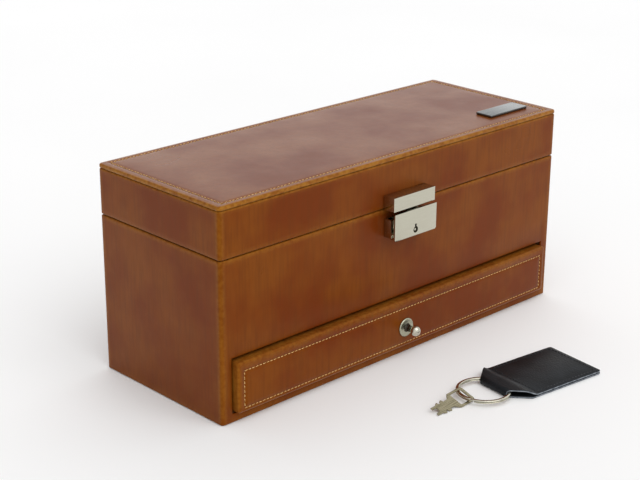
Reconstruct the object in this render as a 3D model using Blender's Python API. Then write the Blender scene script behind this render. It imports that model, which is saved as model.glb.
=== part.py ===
"""Leather covered jewellery case with a hinged lid, a press lock, a drawer and its key set.

Frame: origin at the middle of the underside, +Z up, the lock and the drawer face -Y.
All lengths are metres. Pieces that touch each other keep the clearance FIT between them.
"""

import math

import bmesh
import bpy
from mathutils import Matrix, Vector

MM = 0.001

# ---------------------------------------------------------------- driving dimensions
FIT = 0.3 * MM  # gap between two pieces that rest on each other

CASE_WIDTH = 288 * MM
CASE_DEPTH = 108 * MM
BODY_HEIGHT = 98.6 * MM
SEAM_GAP = 0.5 * MM
LID_BAND_HEIGHT = 28.1 * MM
TOP_PANEL_THICKNESS = 2.5 * MM
CORNER_RADIUS = 2.2 * MM

LEATHER = 1.3 * MM
TURNED_EDGE = 0.9 * MM  # leather skived thin where it turns over a rim
BOARD = 5 * MM
BASE_BOARD = 4 * MM
BASE_CLOTH = 1.2 * MM
COVER_LIFT = 0.6 * MM  # the wall leather stops this far above the table
LID_TOP_BOARD = 5.1 * MM
LINING = 1.2 * MM

DRAWER_PANEL_WIDTH = 271 * MM
DRAWER_PANEL_HEIGHT = 31.2 * MM
DRAWER_PANEL_PROUD = 4.2 * MM
DRAWER_PANEL_DEPTH = 8.2 * MM
DRAWER_GAP_BELOW = 0.9 * MM
DRAWER_GAP_ABOVE = 2.0 * MM
DRAWER_GAP_SIDE = 1.0 * MM
DRAWER_WALL = 3 * MM
DRAWER_WALL_HEIGHT = 27.7 * MM
DRAWER_BACK_HEIGHT = 32.7 * MM
DRAWER_BOTTOM = 2 * MM
DRAWER_BACK_ROOM = 1.4 * MM
DRAWER_LINING = 0.8 * MM
GUIDE_HEIGHT = 8 * MM
GUIDE_RISE = 6.5 * MM  # height of the guides over the base board
SHELF = 4 * MM
STOP_WIDTH = 80 * MM
STOP_DEPTH = 4 * MM
STOP_DROP = 4.4 * MM
STOP_SETBACK = 19 * MM  # from the case front to the front of the stop strip

DIVIDER = 3 * MM
DIVIDER_DROP = 7 * MM  # dividers stop this far under the rim
MIDDLE_ROOM = 92 * MM
RING_ROLLS = 6
RING_PAD_DROP = 9 * MM

KNOB_HEIGHT = 19.4 * MM  # axis of the knob over the table
KNOB_ROSE_RADIUS = 6 * MM
KNOB_ROSE_THICKNESS = 1.3 * MM
KNOB_BALL_RADIUS = 3.3 * MM
KNOB_REACH = 8.3 * MM  # from the drawer panel to the middle of the ball
KNOB_NECK_RADIUS = 1.5 * MM
KNOB_STUD_RADIUS = 1.2 * MM
KNOB_STUD_DEPTH = 5.6 * MM

PLATE_WIDTH = 36 * MM
PLATE_DEPTH = 13 * MM
PLATE_THICKNESS = 1.5 * MM
PLATE_FROM_RIGHT = 30.5 * MM  # middle of the plate from the right end of the lid
PLATE_FROM_FRONT = 20.5 * MM

LOCK_WIDTH = 36 * MM
LOCK_SHEET = 1.0 * MM
LOCK_PROUD = 10.4 * MM  # front of the flap in front of the case
LOCK_FLAP_LOW = 17.35 * MM  # flap's lower edge under the body rim
LOCK_FLAP_HEIGHT = 16.6 * MM
LOCK_BASE_PROUD = 6.0 * MM
LOCK_BASE_HEIGHT = 11.5 * MM
LOCK_EAR = 3.1 * MM
LOCK_PIVOT_RISE = 2.6 * MM  # pivot over the flap's lower edge
LOCK_PIVOT_BACK = 2.2 * MM  # pivot behind the flap plate
LOCK_PIN_RADIUS = 0.8 * MM
LOCK_LUG_RADIUS = 1.8 * MM
LOCK_CORNER_CLIP = 0.8 * MM
LOCK_RUNNING = 0.25 * MM
KEYHOLE_RISE = 3.6 * MM
KEYHOLE_RADIUS = 2.0 * MM
KEY_SLOT_WIDTH = 1.4 * MM
KEY_SLOT_TOP = 3.7 * MM
HASP_WIDTH = 35.4 * MM
HASP_HEIGHT = 8.6 * MM
HASP_LIFT = 0.55 * MM  # hasp's lower edge over the body rim
HASP_PROUD = 9.0 * MM
TONGUE_WIDTH = 10 * MM
TONGUE_DROP = 4.7 * MM
RIVET_RADIUS = 1.1 * MM

HINGE_OFFSET = 85 * MM  # hinge middle from the case middle
HINGE_WIDTH = 30 * MM
HINGE_LEAF = 11 * MM
HINGE_SHEET = 1.0 * MM
KNUCKLE_RADIUS = 2.0 * MM
HINGE_PIN_RADIUS = 0.8 * MM
SCREW_SPACING = 18 * MM
SCREW_RISE = 7 * MM
SCREW_HEAD_RADIUS = 2.2 * MM
SCREW_HEAD = 0.9 * MM
SCREW_RADIUS = 1.0 * MM
SCREW_BITE = 2.4 * MM  # depth of the screw in its board

FOB_FROM_MIDDLE = 1 * MM  # the fob's folded end, from the case middle
FOB_FROM_FRONT = 74 * MM  # and in front of the case
FOB_TURN = math.radians(-6.8)
FOB_LENGTH = 69 * MM
FOB_WIDTH = 42.8 * MM
FOB_FOLD_WIDTH = 21 * MM
FOB_SHOULDER = 12.5 * MM
FOB_LEAF = 1.3 * MM
FOB_POCKET = 9.8 * MM
RING_RADIUS = 15.4 * MM
RING_WIRE_WIDE = 1.6 * MM
RING_WIRE_TALL = 1.9 * MM
RING_PLAY = 0.3 * MM
RING_IN_FOLD = 9.1 * MM  # how far the ring reaches into the fold
KEY_THICKNESS = 0.8 * MM
KEY_ON_RING = math.radians(167)  # where on the ring the key hangs
KEY_TURN = math.radians(182)  # the way that the key points
KEY_ROLL = math.radians(-19)
KEY_PITCH = math.radians(3)
KEY_BOW_HALF = 6.2 * MM
KEY_SHOULDER = 7.6 * MM  # from the ring to the corner where the bow narrows
KEY_HOLE_HALF = 4.7 * MM
TABLE_CLEARANCE = 0.05 * MM

CURVE_STEPS = 24  # sides of a full round

# ---------------------------------------------------------------- derived places
HALF_X = CASE_WIDTH / 2
HALF_Y = CASE_DEPTH / 2
WALL_X = HALF_X - LEATHER - FIT  # outer face of the boards
WALL_Y = HALF_Y - LEATHER - FIT
ROOM_X = WALL_X - BOARD  # inner face of the boards
ROOM_Y = WALL_Y - BOARD
RIM_INSET = LEATHER + FIT + BOARD + 0.6 * MM

BASE_BOARD_LOW = BASE_CLOTH + FIT
BASE_BOARD_TOP = BASE_BOARD_LOW + BASE_BOARD
DRAWER_FLOOR = BASE_BOARD_TOP + FIT
MOUTH_LOW = BASE_BOARD_TOP
PANEL_LOW = MOUTH_LOW + DRAWER_GAP_BELOW
PANEL_TOP = PANEL_LOW + DRAWER_PANEL_HEIGHT
MOUTH_TOP = PANEL_TOP + DRAWER_GAP_ABOVE
SHELF_LOW = MOUTH_TOP + 0.6 * MM
SHELF_TOP = SHELF_LOW + SHELF
BOARD_TOP = BODY_HEIGHT - TURNED_EDGE - FIT

LID_LOW = BODY_HEIGHT + SEAM_GAP
LID_BAND_TOP = LID_LOW + LID_BAND_HEIGHT
TOP_PANEL_LOW = LID_BAND_TOP + FIT
CASE_TOP = TOP_PANEL_LOW + TOP_PANEL_THICKNESS
LID_BOARD_LOW = LID_LOW + TURNED_EDGE + FIT
LID_TOP_BOARD_LOW = LID_BAND_TOP - FIT - LID_TOP_BOARD
LID_BOARD_TOP = LID_TOP_BOARD_LOW - FIT

PANEL_FRONT = -HALF_Y - DRAWER_PANEL_PROUD
PANEL_BACK = PANEL_FRONT + DRAWER_PANEL_DEPTH
DRAWER_FRONT = PANEL_BACK + FIT
DRAWER_REAR = ROOM_Y - DRAWER_BACK_ROOM
GUIDE_INNER = DRAWER_PANEL_WIDTH / 2 - 0.6 * MM
DRAWER_X = GUIDE_INNER - FIT

FLAP_LOW = BODY_HEIGHT - LOCK_FLAP_LOW
FLAP_TOP = FLAP_LOW + LOCK_FLAP_HEIGHT
FLAP_FRONT = -HALF_Y - LOCK_PROUD
FLAP_BACK = FLAP_FRONT + LOCK_SHEET
PIVOT_Y = FLAP_BACK + LOCK_PIVOT_BACK
PIVOT_Z = FLAP_LOW + LOCK_PIVOT_RISE
KEYHOLE_Z = FLAP_LOW + KEYHOLE_RISE
LOCK_BACK = -HALF_Y - FIT

HINGE_Y = HALF_Y + FIT + KNUCKLE_RADIUS
HINGE_Z = BODY_HEIGHT + SEAM_GAP / 2

FOB_ORIGIN = Vector((FOB_FROM_MIDDLE, -HALF_Y - FOB_FROM_FRONT, 0))
KEY_LOW_CORNER = KEY_BOW_HALF * math.sin(abs(KEY_ROLL)) + KEY_SHOULDER * math.sin(KEY_PITCH)
RING_HEIGHT = KEY_LOW_CORNER + KEY_THICKNESS / 2 + TABLE_CLEARANCE

# ---------------------------------------------------------------- finishes
LEATHER_TAN = ("tan_leather", (0.20, 0.062, 0.016), 0.35, 0.0)
LEATHER_BLACK = ("black_leather", (0.012, 0.013, 0.015), 0.5, 0.0)
FIBREBOARD = ("fibreboard", (0.32, 0.20, 0.11), 0.8, 0.0)
SUEDE = ("suede", (0.45, 0.31, 0.18), 0.95, 0.0)
NICKEL = ("satin_nickel", (0.62, 0.60, 0.53), 0.3, 1.0)
STEEL = ("spring_steel", (0.45, 0.45, 0.46), 0.35, 1.0)


# ---------------------------------------------------------------- modelling helpers
def clear_scene():
    for item in list(bpy.data.objects):
        bpy.data.objects.remove(item, do_unlink=True)


def material(finish):
    """The Principled material of a finish, made once."""
    name, colour, roughness, metallic = finish
    found = bpy.data.materials.get(name)
    if found:
        return found
    made = bpy.data.materials.new(name)
    made.use_nodes = True
    shader = made.node_tree.nodes["Principled BSDF"]
    shader.inputs["Base Color"].default_value = (*colour, 1)
    shader.inputs["Roughness"].default_value = roughness
    shader.inputs["Metallic"].default_value = metallic
    return made


def place(name, bm, finish, smooth=True):
    """Turn a bmesh into a scene object with outward faces and its own material."""
    bmesh.ops.recalc_face_normals(bm, faces=bm.faces)
    mesh = bpy.data.meshes.new(name)
    bm.to_mesh(mesh)
    bm.free()
    if smooth:
        mesh.shade_smooth()
        mesh.set_sharp_from_angle(angle=math.radians(35))
    mesh.materials.append(material(finish))
    item = bpy.data.objects.new(name, mesh)
    bpy.context.scene.collection.objects.link(item)
    return item


def box_mesh(low, high):
    bm = bmesh.new()
    low, high = Vector(low), Vector(high)
    size = high - low
    matrix = Matrix.Translation((low + high) / 2) @ Matrix.Diagonal((*size, 1))
    bmesh.ops.create_cube(bm, size=1, matrix=matrix)
    return bm


def box(name, low, high, finish=FIBREBOARD):
    return place(name, box_mesh(low, high), finish, smooth=False)


def prism_mesh(outline, direction):
    """A closed outline of 3D points, pushed along a direction."""
    bm = bmesh.new()
    near = [bm.verts.new(p) for p in outline]
    far = [bm.verts.new(Vector(p) + Vector(direction)) for p in outline]
    count = len(outline)
    bm.faces.new(near)
    bm.faces.new(far)
    for i in range(count):
        j = (i + 1) % count
        bm.faces.new((near[i], near[j], far[j], far[i]))
    return bm


def prism(name, outline, direction, finish):
    return place(name, prism_mesh(outline, direction), finish)


def rod_mesh(start, end, radius, steps=CURVE_STEPS, radius_end=None):
    """A round bar, or a cone, from start to end."""
    bm = bmesh.new()
    start, end = Vector(start), Vector(end)
    along = end - start
    turn = Vector((0, 0, 1)).rotation_difference(along).to_matrix().to_4x4()
    matrix = Matrix.Translation((start + end) / 2) @ turn
    far_radius = radius if radius_end is None else radius_end
    bmesh.ops.create_cone(
        bm, cap_ends=True, segments=steps, radius1=radius, radius2=far_radius,
        depth=along.length, matrix=matrix,
    )
    return bm


def turned_mesh(profile, matrix, steps=CURVE_STEPS):
    """A solid turned round local Z from (radius, height) points that start and end on the axis."""
    bm = bmesh.new()
    low = bm.verts.new(matrix @ Vector((0, 0, profile[0][1])))
    high = bm.verts.new(matrix @ Vector((0, 0, profile[-1][1])))
    rings = []
    for radius, height in profile[1:-1]:
        ring = []
        for k in range(steps):
            angle = 2 * math.pi * k / steps
            point = Vector((radius * math.cos(angle), radius * math.sin(angle), height))
            ring.append(bm.verts.new(matrix @ point))
        rings.append(ring)
    for k in range(steps):
        j = (k + 1) % steps
        bm.faces.new((low, rings[0][j], rings[0][k]))
        bm.faces.new((high, rings[-1][k], rings[-1][j]))
        for inner, outer in zip(rings, rings[1:]):
            bm.faces.new((inner[k], inner[j], outer[j], outer[k]))
    return bm


def combine(target, tool_mesh, operation):
    """Apply a Boolean of a tool bmesh to an object, and drop the tool."""
    tool = place("tool", tool_mesh, NICKEL, smooth=False)
    tool.hide_render = True
    tool.display_type = "WIRE"
    step = target.modifiers.new(operation.lower(), "BOOLEAN")
    step.operation = operation
    step.solver = "EXACT"
    step.object = tool
    bpy.context.view_layer.update()
    graph = bpy.context.evaluated_depsgraph_get()
    result = bpy.data.meshes.new_from_object(target.evaluated_get(graph))
    target.modifiers.remove(step)
    old = target.data
    target.data = result
    bpy.data.meshes.remove(old)
    bpy.data.objects.remove(tool, do_unlink=True)
    target.data.set_sharp_from_angle(angle=math.radians(35))
    return target


def cut(target, tool_mesh):
    return combine(target, tool_mesh, "DIFFERENCE")


def weld(target, tool_mesh):
    return combine(target, tool_mesh, "UNION")


def rounded_outline(half_x, half_y, radius, inset, steps=5):
    """Corner-rounded rectangle, drawn in by inset, as (x, y) points."""
    bend = max(radius - inset, 0.2 * MM)
    cx, cy = half_x - inset - bend, half_y - inset - bend
    points = []
    for quarter, (sx, sy) in enumerate(((1, 1), (-1, 1), (-1, -1), (1, -1))):
        for k in range(steps + 1):
            angle = math.radians(90 * (quarter + k / steps))
            points.append((sx * cx + bend * math.cos(angle), sy * cy + bend * math.sin(angle)))
    return points


def wall_band(name, profile, finish):
    """A leather band round the case, swept from a closed profile of (inset, height) points."""
    bm = bmesh.new()
    loops = []
    for inset, height in profile:
        outline = rounded_outline(HALF_X, HALF_Y, CORNER_RADIUS, inset)
        loops.append([bm.verts.new((x, y, height)) for x, y in outline])
    around = len(loops[0])
    for i, loop in enumerate(loops):
        after = loops[(i + 1) % len(loops)]
        for k in range(around):
            j = (k + 1) % around
            bm.faces.new((loop[k], loop[j], after[j], after[k]))
    return place(name, bm, finish)


def slab(name, inset, low, high, finish, edge=0.0):
    """A plate with the case's own outline, its upper edge eased by edge."""
    bm = bmesh.new()
    rings = [(inset, low), (inset, high - edge), (inset + edge, high)] if edge else [
        (inset, low), (inset, high)]
    loops = []
    for draw_in, height in rings:
        outline = rounded_outline(HALF_X, HALF_Y, CORNER_RADIUS, draw_in)
        loops.append([bm.verts.new((x, y, height)) for x, y in outline])
    for lower, upper in zip(loops, loops[1:]):
        for k in range(len(lower)):
            j = (k + 1) % len(lower)
            bm.faces.new((lower[k], lower[j], upper[j], upper[k]))
    bm.faces.new(loops[0])
    bm.faces.new(loops[-1])
    return place(name, bm, finish)


def open_box(name, low, high, wall, finish, opens_up=True):
    """A thin box with its top, or its bottom, left open."""
    item = place(name, box_mesh(low, high), finish, smooth=False)
    floor = wall if opens_up else -wall
    inner_low = Vector(low) + Vector((wall, wall, max(floor, 0) or -wall))
    inner_high = Vector(high) + Vector((-wall, -wall, wall if opens_up else -wall))
    return cut(item, box_mesh(inner_low, inner_high))


def end_board(name, side, low, high):
    """A side board, its two outer corners rounded to follow the leather."""
    bend = CORNER_RADIUS - LEATHER - FIT
    outline = [(side * ROOM_X, WALL_Y), (side * ROOM_X, -WALL_Y)]
    steps = 4
    for corner in (-1, 1):
        for k in range(steps + 1):
            angle = math.pi / 2 * (k / steps if corner > 0 else 1 - k / steps)
            outline.append((
                side * (WALL_X - bend + bend * math.cos(angle)),
                corner * (WALL_Y - bend + bend * math.sin(angle)),
            ))
    points = [(x, y, low) for x, y in outline]
    return prism(name, points, (0, 0, high - low), FIBREBOARD)


# ---------------------------------------------------------------- case body
def build_body():
    slab("base_cover", LEATHER + FIT, 0, BASE_CLOTH, SUEDE)
    slab("base_board", LEATHER + FIT, BASE_BOARD_LOW, BASE_BOARD_TOP, FIBREBOARD)
    stand = BASE_BOARD_TOP + FIT
    end_board("left_board", -1, stand, BOARD_TOP)
    end_board("right_board", 1, stand, BOARD_TOP)
    across = ROOM_X - FIT
    box("back_board", (-across, ROOM_Y, stand), (across, WALL_Y, BOARD_TOP))
    box("front_board", (-across, -WALL_Y, MOUTH_TOP + FIT), (across, -ROOM_Y, BOARD_TOP))
    deep = ROOM_Y - FIT
    box("drawer_shelf", (-across, -deep, SHELF_LOW), (across, deep, SHELF_TOP))
    stop_front = -HALF_Y + STOP_SETBACK
    box(
        "drawer_stop",
        (-STOP_WIDTH / 2, stop_front, SHELF_LOW - FIT - STOP_DROP),
        (STOP_WIDTH / 2, stop_front + STOP_DEPTH, SHELF_LOW - FIT),
    )
    for name, side in (("left", -1), ("right", 1)):
        xs = sorted((side * GUIDE_INNER, side * across))
        low = BASE_BOARD_TOP + GUIDE_RISE
        box(
            f"drawer_guide_{name}", (xs[0], -WALL_Y + 4 * MM, low), (xs[1], deep, low + GUIDE_HEIGHT)
        )
    band = wall_band("body_cover", [
        (0, COVER_LIFT),
        (0, BODY_HEIGHT - 0.8 * MM),
        (0.8 * MM, BODY_HEIGHT),
        (RIM_INSET, BODY_HEIGHT),
        (RIM_INSET, BODY_HEIGHT - TURNED_EDGE),
        (LEATHER, BODY_HEIGHT - TURNED_EDGE),
        (LEATHER, COVER_LIFT),
    ], LEATHER_TAN)
    mouth_x = DRAWER_PANEL_WIDTH / 2 + DRAWER_GAP_SIDE
    cut(band, box_mesh((-mouth_x, -HALF_Y - MM, MOUTH_LOW), (mouth_x, -HALF_Y + 3 * MM, MOUTH_TOP)))
    return band


def build_tub():
    across, deep = ROOM_X - FIT, ROOM_Y - FIT
    low = SHELF_TOP + FIT
    open_box("tub_lining", (-across, -deep, low), (across, deep, BOARD_TOP), LINING, SUEDE)
    floor = low + LINING + FIT
    depth = deep - LINING - FIT
    top = BODY_HEIGHT - DIVIDER_DROP
    for name, side in (("left", -1), ("right", 1)):
        inner = side * MIDDLE_ROOM / 2
        xs = sorted((inner, inner + side * DIVIDER))
        box(f"tub_divider_{name}", (xs[0], -depth, floor), (xs[1], depth, top), SUEDE)
    half = MIDDLE_ROOM / 2 - FIT
    pitch = 2 * depth / RING_ROLLS
    crown = BODY_HEIGHT - RING_PAD_DROP
    outline = [(-half, -depth, floor)]
    for roll in range(RING_ROLLS):
        middle = -depth + pitch * (roll + 0.5)
        for k in range(9):
            angle = math.pi * (1 - k / 8)
            reach = pitch / 2 * (0.985 if 0 < k < 8 else 0.94)
            height = crown - pitch / 2 + reach * math.sin(angle)
            outline.append((-half, middle + reach * math.cos(angle), height))
    outline.append((-half, depth, floor))
    prism("ring_pad", outline, (2 * half, 0, 0), SUEDE)


# ---------------------------------------------------------------- lid
def build_lid():
    across, deep = ROOM_X - FIT, ROOM_Y - FIT
    end_board("lid_left_board", -1, LID_BOARD_LOW, LID_BOARD_TOP)
    end_board("lid_right_board", 1, LID_BOARD_LOW, LID_BOARD_TOP)
    box("lid_back_board", (-across, ROOM_Y, LID_BOARD_LOW), (across, WALL_Y, LID_BOARD_TOP))
    box("lid_front_board", (-across, -WALL_Y, LID_BOARD_LOW), (across, -ROOM_Y, LID_BOARD_TOP))
    slab("lid_top_board", LEATHER + FIT, LID_TOP_BOARD_LOW, LID_BAND_TOP - FIT, FIBREBOARD)
    wall_band("lid_cover", [
        (0, LID_LOW + 0.8 * MM),
        (0, LID_BAND_TOP - 0.8 * MM),
        (0.5 * MM, LID_BAND_TOP),
        (LEATHER, LID_BAND_TOP),
        (LEATHER, LID_LOW + TURNED_EDGE),
        (RIM_INSET, LID_LOW + TURNED_EDGE),
        (RIM_INSET, LID_LOW),
        (0.8 * MM, LID_LOW),
    ], LEATHER_TAN)
    slab("lid_top_panel", 0, TOP_PANEL_LOW, CASE_TOP, LEATHER_TAN, edge=0.8 * MM)
    open_box(
        "lid_lining", (-across, -deep, LID_BOARD_LOW), (across, deep, LID_BOARD_TOP), LINING, SUEDE,
        opens_up=False,
    )
    x = HALF_X - PLATE_FROM_RIGHT
    y = -HALF_Y + PLATE_FROM_FRONT
    low = CASE_TOP + FIT
    box(
        "nameplate",
        (x - PLATE_WIDTH / 2, y - PLATE_DEPTH / 2, low),
        (x + PLATE_WIDTH / 2, y + PLATE_DEPTH / 2, low + PLATE_THICKNESS),
        NICKEL,
    )


# ---------------------------------------------------------------- hinges
def leaf(name, middle, up, knuckles):
    """One leaf of a butt hinge: up is 1 for the lid's leaf and -1 for the body's."""
    back = HALF_Y + FIT
    far = HINGE_Z + up * HINGE_LEAF
    near = HINGE_Z + up * (KNUCKLE_RADIUS + 0.4 * MM)
    zs = sorted((near, far))
    half = HINGE_WIDTH / 2
    item = place(
        name, box_mesh((middle - half, back, zs[0]), (middle + half, back + HINGE_SHEET, zs[1])),
        NICKEL,
    )
    for low, high in knuckles:
        zs = sorted((HINGE_Z, far - up * MM))
        weld(item, box_mesh((middle + low, back, zs[0]), (middle + high, back + HINGE_SHEET, zs[1])))
        start = (middle + low, HINGE_Y, HINGE_Z)
        weld(item, rod_mesh(start, (middle + high, HINGE_Y, HINGE_Z), KNUCKLE_RADIUS))
    bore = HINGE_PIN_RADIUS + LOCK_RUNNING
    cut(item, rod_mesh(
        (middle - half - MM, HINGE_Y, HINGE_Z), (middle + half + MM, HINGE_Y, HINGE_Z), bore
    ))
    return item


def build_hinges():
    third = HINGE_WIDTH / 3
    half = HINGE_WIDTH / 2
    play = 0.2 * MM
    outer = ((-half, -half + third - play), (half - third + play, half))
    inner = ((-half + third + play, half - third - play),)
    for name, side in (("left", -1), ("right", 1)):
        middle = side * HINGE_OFFSET
        body_leaf = leaf(f"hinge_{name}_body_leaf", middle, -1, outer)
        lid_leaf = leaf(f"hinge_{name}_lid_leaf", middle, 1, inner)
        start = Vector((middle - half, HINGE_Y, HINGE_Z))
        end = Vector((middle + half, HINGE_Y, HINGE_Z))
        place(f"hinge_{name}_pin", rod_mesh(start, end, HINGE_PIN_RADIUS), STEEL)
        for part, up, carrier in (("body", -1, body_leaf), ("lid", 1, lid_leaf)):
            cover = bpy.data.objects[f"{part}_cover"]
            board = bpy.data.objects["back_board" if part == "body" else "lid_back_board"]
            for number, shift in ((1, -1), (2, 1)):
                x = middle + shift * SCREW_SPACING / 2
                z = HINGE_Z + up * SCREW_RISE
                seat = HALF_Y + FIT + HINGE_SHEET + FIT
                tip = WALL_Y - SCREW_BITE
                hole = SCREW_RADIUS + FIT
                for piece in (carrier, cover, board):
                    cut(piece, rod_mesh((x, seat, z), (x, tip - FIT, z), hole, 12))
                screw = place(
                    f"hinge_{name}_{part}_screw_{number}",
                    rod_mesh((x, seat, z), (x, seat + SCREW_HEAD, z), SCREW_HEAD_RADIUS, 16,
                             SCREW_HEAD_RADIUS * 0.72),
                    NICKEL,
                )
                weld(screw, rod_mesh((x, tip, z), (x, seat + SCREW_HEAD / 2, z), SCREW_RADIUS, 12))


# ---------------------------------------------------------------- press lock
def lock_base():
    """The fixed box of the lock: back plate, two side walls, front ears and pivot lugs."""
    half = LOCK_WIDTH / 2 - 1.2 * MM
    wall = 1.2 * MM
    front = -HALF_Y - LOCK_BASE_PROUD
    low = FLAP_LOW + 0.5 * MM
    top = low + LOCK_BASE_HEIGHT
    item = place("lock_base", box_mesh(
        (-half, LOCK_BACK - LOCK_SHEET, low), (half, LOCK_BACK, top)), NICKEL)
    for side in (-1, 1):
        xs = sorted((side * half, side * (half - wall)))
        weld(item, box_mesh((xs[0], front, low), (xs[1], LOCK_BACK - 0.2 * MM, top)))
        ear = sorted((side * half, side * (half - LOCK_EAR)))
        weld(item, box_mesh((ear[0], front, low + 0.1 * MM), (ear[1], front + LOCK_SHEET, top)))
        weld(item, rod_mesh((xs[0], PIVOT_Y, PIVOT_Z), (xs[1], PIVOT_Y, PIVOT_Z), LOCK_LUG_RADIUS))
        hole = LOCK_PIN_RADIUS + LOCK_RUNNING
        cut(item, rod_mesh(
            (xs[0] - MM, PIVOT_Y, PIVOT_Z), (xs[1] + MM, PIVOT_Y, PIVOT_Z), hole, 16))
    return item, top


def lock_flap():
    """The key plate that swings forward on its two pivots, with the case that holds the cam."""
    half = LOCK_WIDTH / 2
    clip = LOCK_CORNER_CLIP
    outline = [
        (-half, FLAP_TOP), (half, FLAP_TOP), (half, FLAP_LOW + clip), (half - clip, FLAP_LOW),
        (-half + clip, FLAP_LOW), (-half, FLAP_LOW + clip),
    ]
    item = prism("lock_flap", [(x, FLAP_FRONT, z) for x, z in outline], (0, LOCK_SHEET, 0), NICKEL)
    cheek = half - LOCK_EAR - 2.1 * MM
    rear = LOCK_BACK - LOCK_SHEET - 1.1 * MM
    low, top = FLAP_LOW + 1.0 * MM, FLAP_LOW + 11.5 * MM
    thin = 0.8 * MM
    for side in (-1, 1):
        xs = sorted((side * cheek, side * (cheek - 1.2 * MM)))
        weld(item, box_mesh((xs[0], FLAP_BACK - 0.2 * MM, low), (xs[1], rear, top)))
        ear = sorted((side * half, side * (half - 0.9 * MM)))
        weld(item, box_mesh(
            (ear[0], FLAP_BACK - 0.2 * MM, PIVOT_Z - LOCK_LUG_RADIUS), (ear[1], PIVOT_Y, PIVOT_Z + LOCK_LUG_RADIUS)))
        weld(item, rod_mesh((ear[0], PIVOT_Y, PIVOT_Z), (ear[1], PIVOT_Y, PIVOT_Z), LOCK_LUG_RADIUS))
        hole = LOCK_PIN_RADIUS + LOCK_RUNNING
        cut(item, rod_mesh(
            (ear[0] - MM, PIVOT_Y, PIVOT_Z), (ear[1] + MM, PIVOT_Y, PIVOT_Z), hole, 16))
    weld(item, box_mesh((-cheek, rear - thin, low + 0.1 * MM), (cheek, rear, top - 0.1 * MM)))
    cut(item, rod_mesh(
        (0, FLAP_FRONT - MM, KEYHOLE_Z), (0, FLAP_BACK + MM, KEYHOLE_Z), KEYHOLE_RADIUS, 20))
    slot = KEY_SLOT_WIDTH / 2
    cut(item, box_mesh(
        (-slot, FLAP_FRONT - MM, KEYHOLE_Z), (slot, FLAP_BACK + MM, KEYHOLE_Z + KEY_SLOT_TOP)))
    post_tip = FLAP_FRONT + 0.5 * MM
    weld(item, rod_mesh((0, rear - thin / 2, KEYHOLE_Z), (0, post_tip, KEYHOLE_Z), 0.75 * MM, 12))
    return rear - thin


def lock_cam(floor):
    """The cam that the key turns round the post, with its bolt arm and key slot."""
    front, back = FLAP_BACK + FIT, floor - FIT
    item = place("lock_cam", rod_mesh((0, front, KEYHOLE_Z), (0, back, KEYHOLE_Z), 3.2 * MM), STEEL)
    weld(item, box_mesh(
        (-1.4 * MM, back - 1.6 * MM, KEYHOLE_Z + 1.5 * MM), (1.4 * MM, back, KEYHOLE_Z + 6.2 * MM)))
    cut(item, rod_mesh((0, front - MM, KEYHOLE_Z), (0, back + MM, KEYHOLE_Z), 1.1 * MM, 16))
    slot = KEY_SLOT_WIDTH / 2
    cut(item, box_mesh(
        (-slot, front - MM, KEYHOLE_Z), (slot, front + 2.6 * MM, KEYHOLE_Z + KEY_SLOT_TOP)))
    return item


def hasp():
    """The lid's half of the lock: a boxed plate with a tongue that drops behind the flap."""
    half = HASP_WIDTH / 2
    low = BODY_HEIGHT + HASP_LIFT
    top = low + HASP_HEIGHT
    front = -HALF_Y - HASP_PROUD
    item = place("hasp", box_mesh((-half, front, low), (half, LOCK_BACK, top)), NICKEL)
    cut(item, box_mesh(
        (-half + LOCK_SHEET, front + LOCK_SHEET, low - MM),
        (half - LOCK_SHEET, LOCK_BACK - LOCK_SHEET, top - LOCK_SHEET),
    ))
    tongue = TONGUE_WIDTH / 2
    depth = front + 2.8 * MM
    weld(item, box_mesh((-tongue, front + 0.2 * MM, low), (tongue, depth, low + LOCK_SHEET)))
    weld(item, box_mesh(
        (-tongue + 0.1 * MM, depth - LOCK_SHEET, low - TONGUE_DROP),
        (tongue - 0.1 * MM, depth - 0.1 * MM, low + 0.5 * MM),
    ))
    leg_z = low + 5.5 * MM
    for side in (-1, 1):
        x = side * 10 * MM
        start, end = (x, LOCK_BACK - LOCK_SHEET / 2, leg_z), (x, -WALL_Y + 2.4 * MM, leg_z)
        weld(item, rod_mesh(start, end, RIVET_RADIUS, 12))
        for piece in ("lid_cover", "lid_front_board"):
            deep_end = (x, -WALL_Y + 2.4 * MM + FIT, leg_z)
            cut(bpy.data.objects[piece], rod_mesh(
                (x, -HALF_Y - MM, leg_z), deep_end, RIVET_RADIUS + FIT, 12))
    return item


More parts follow.
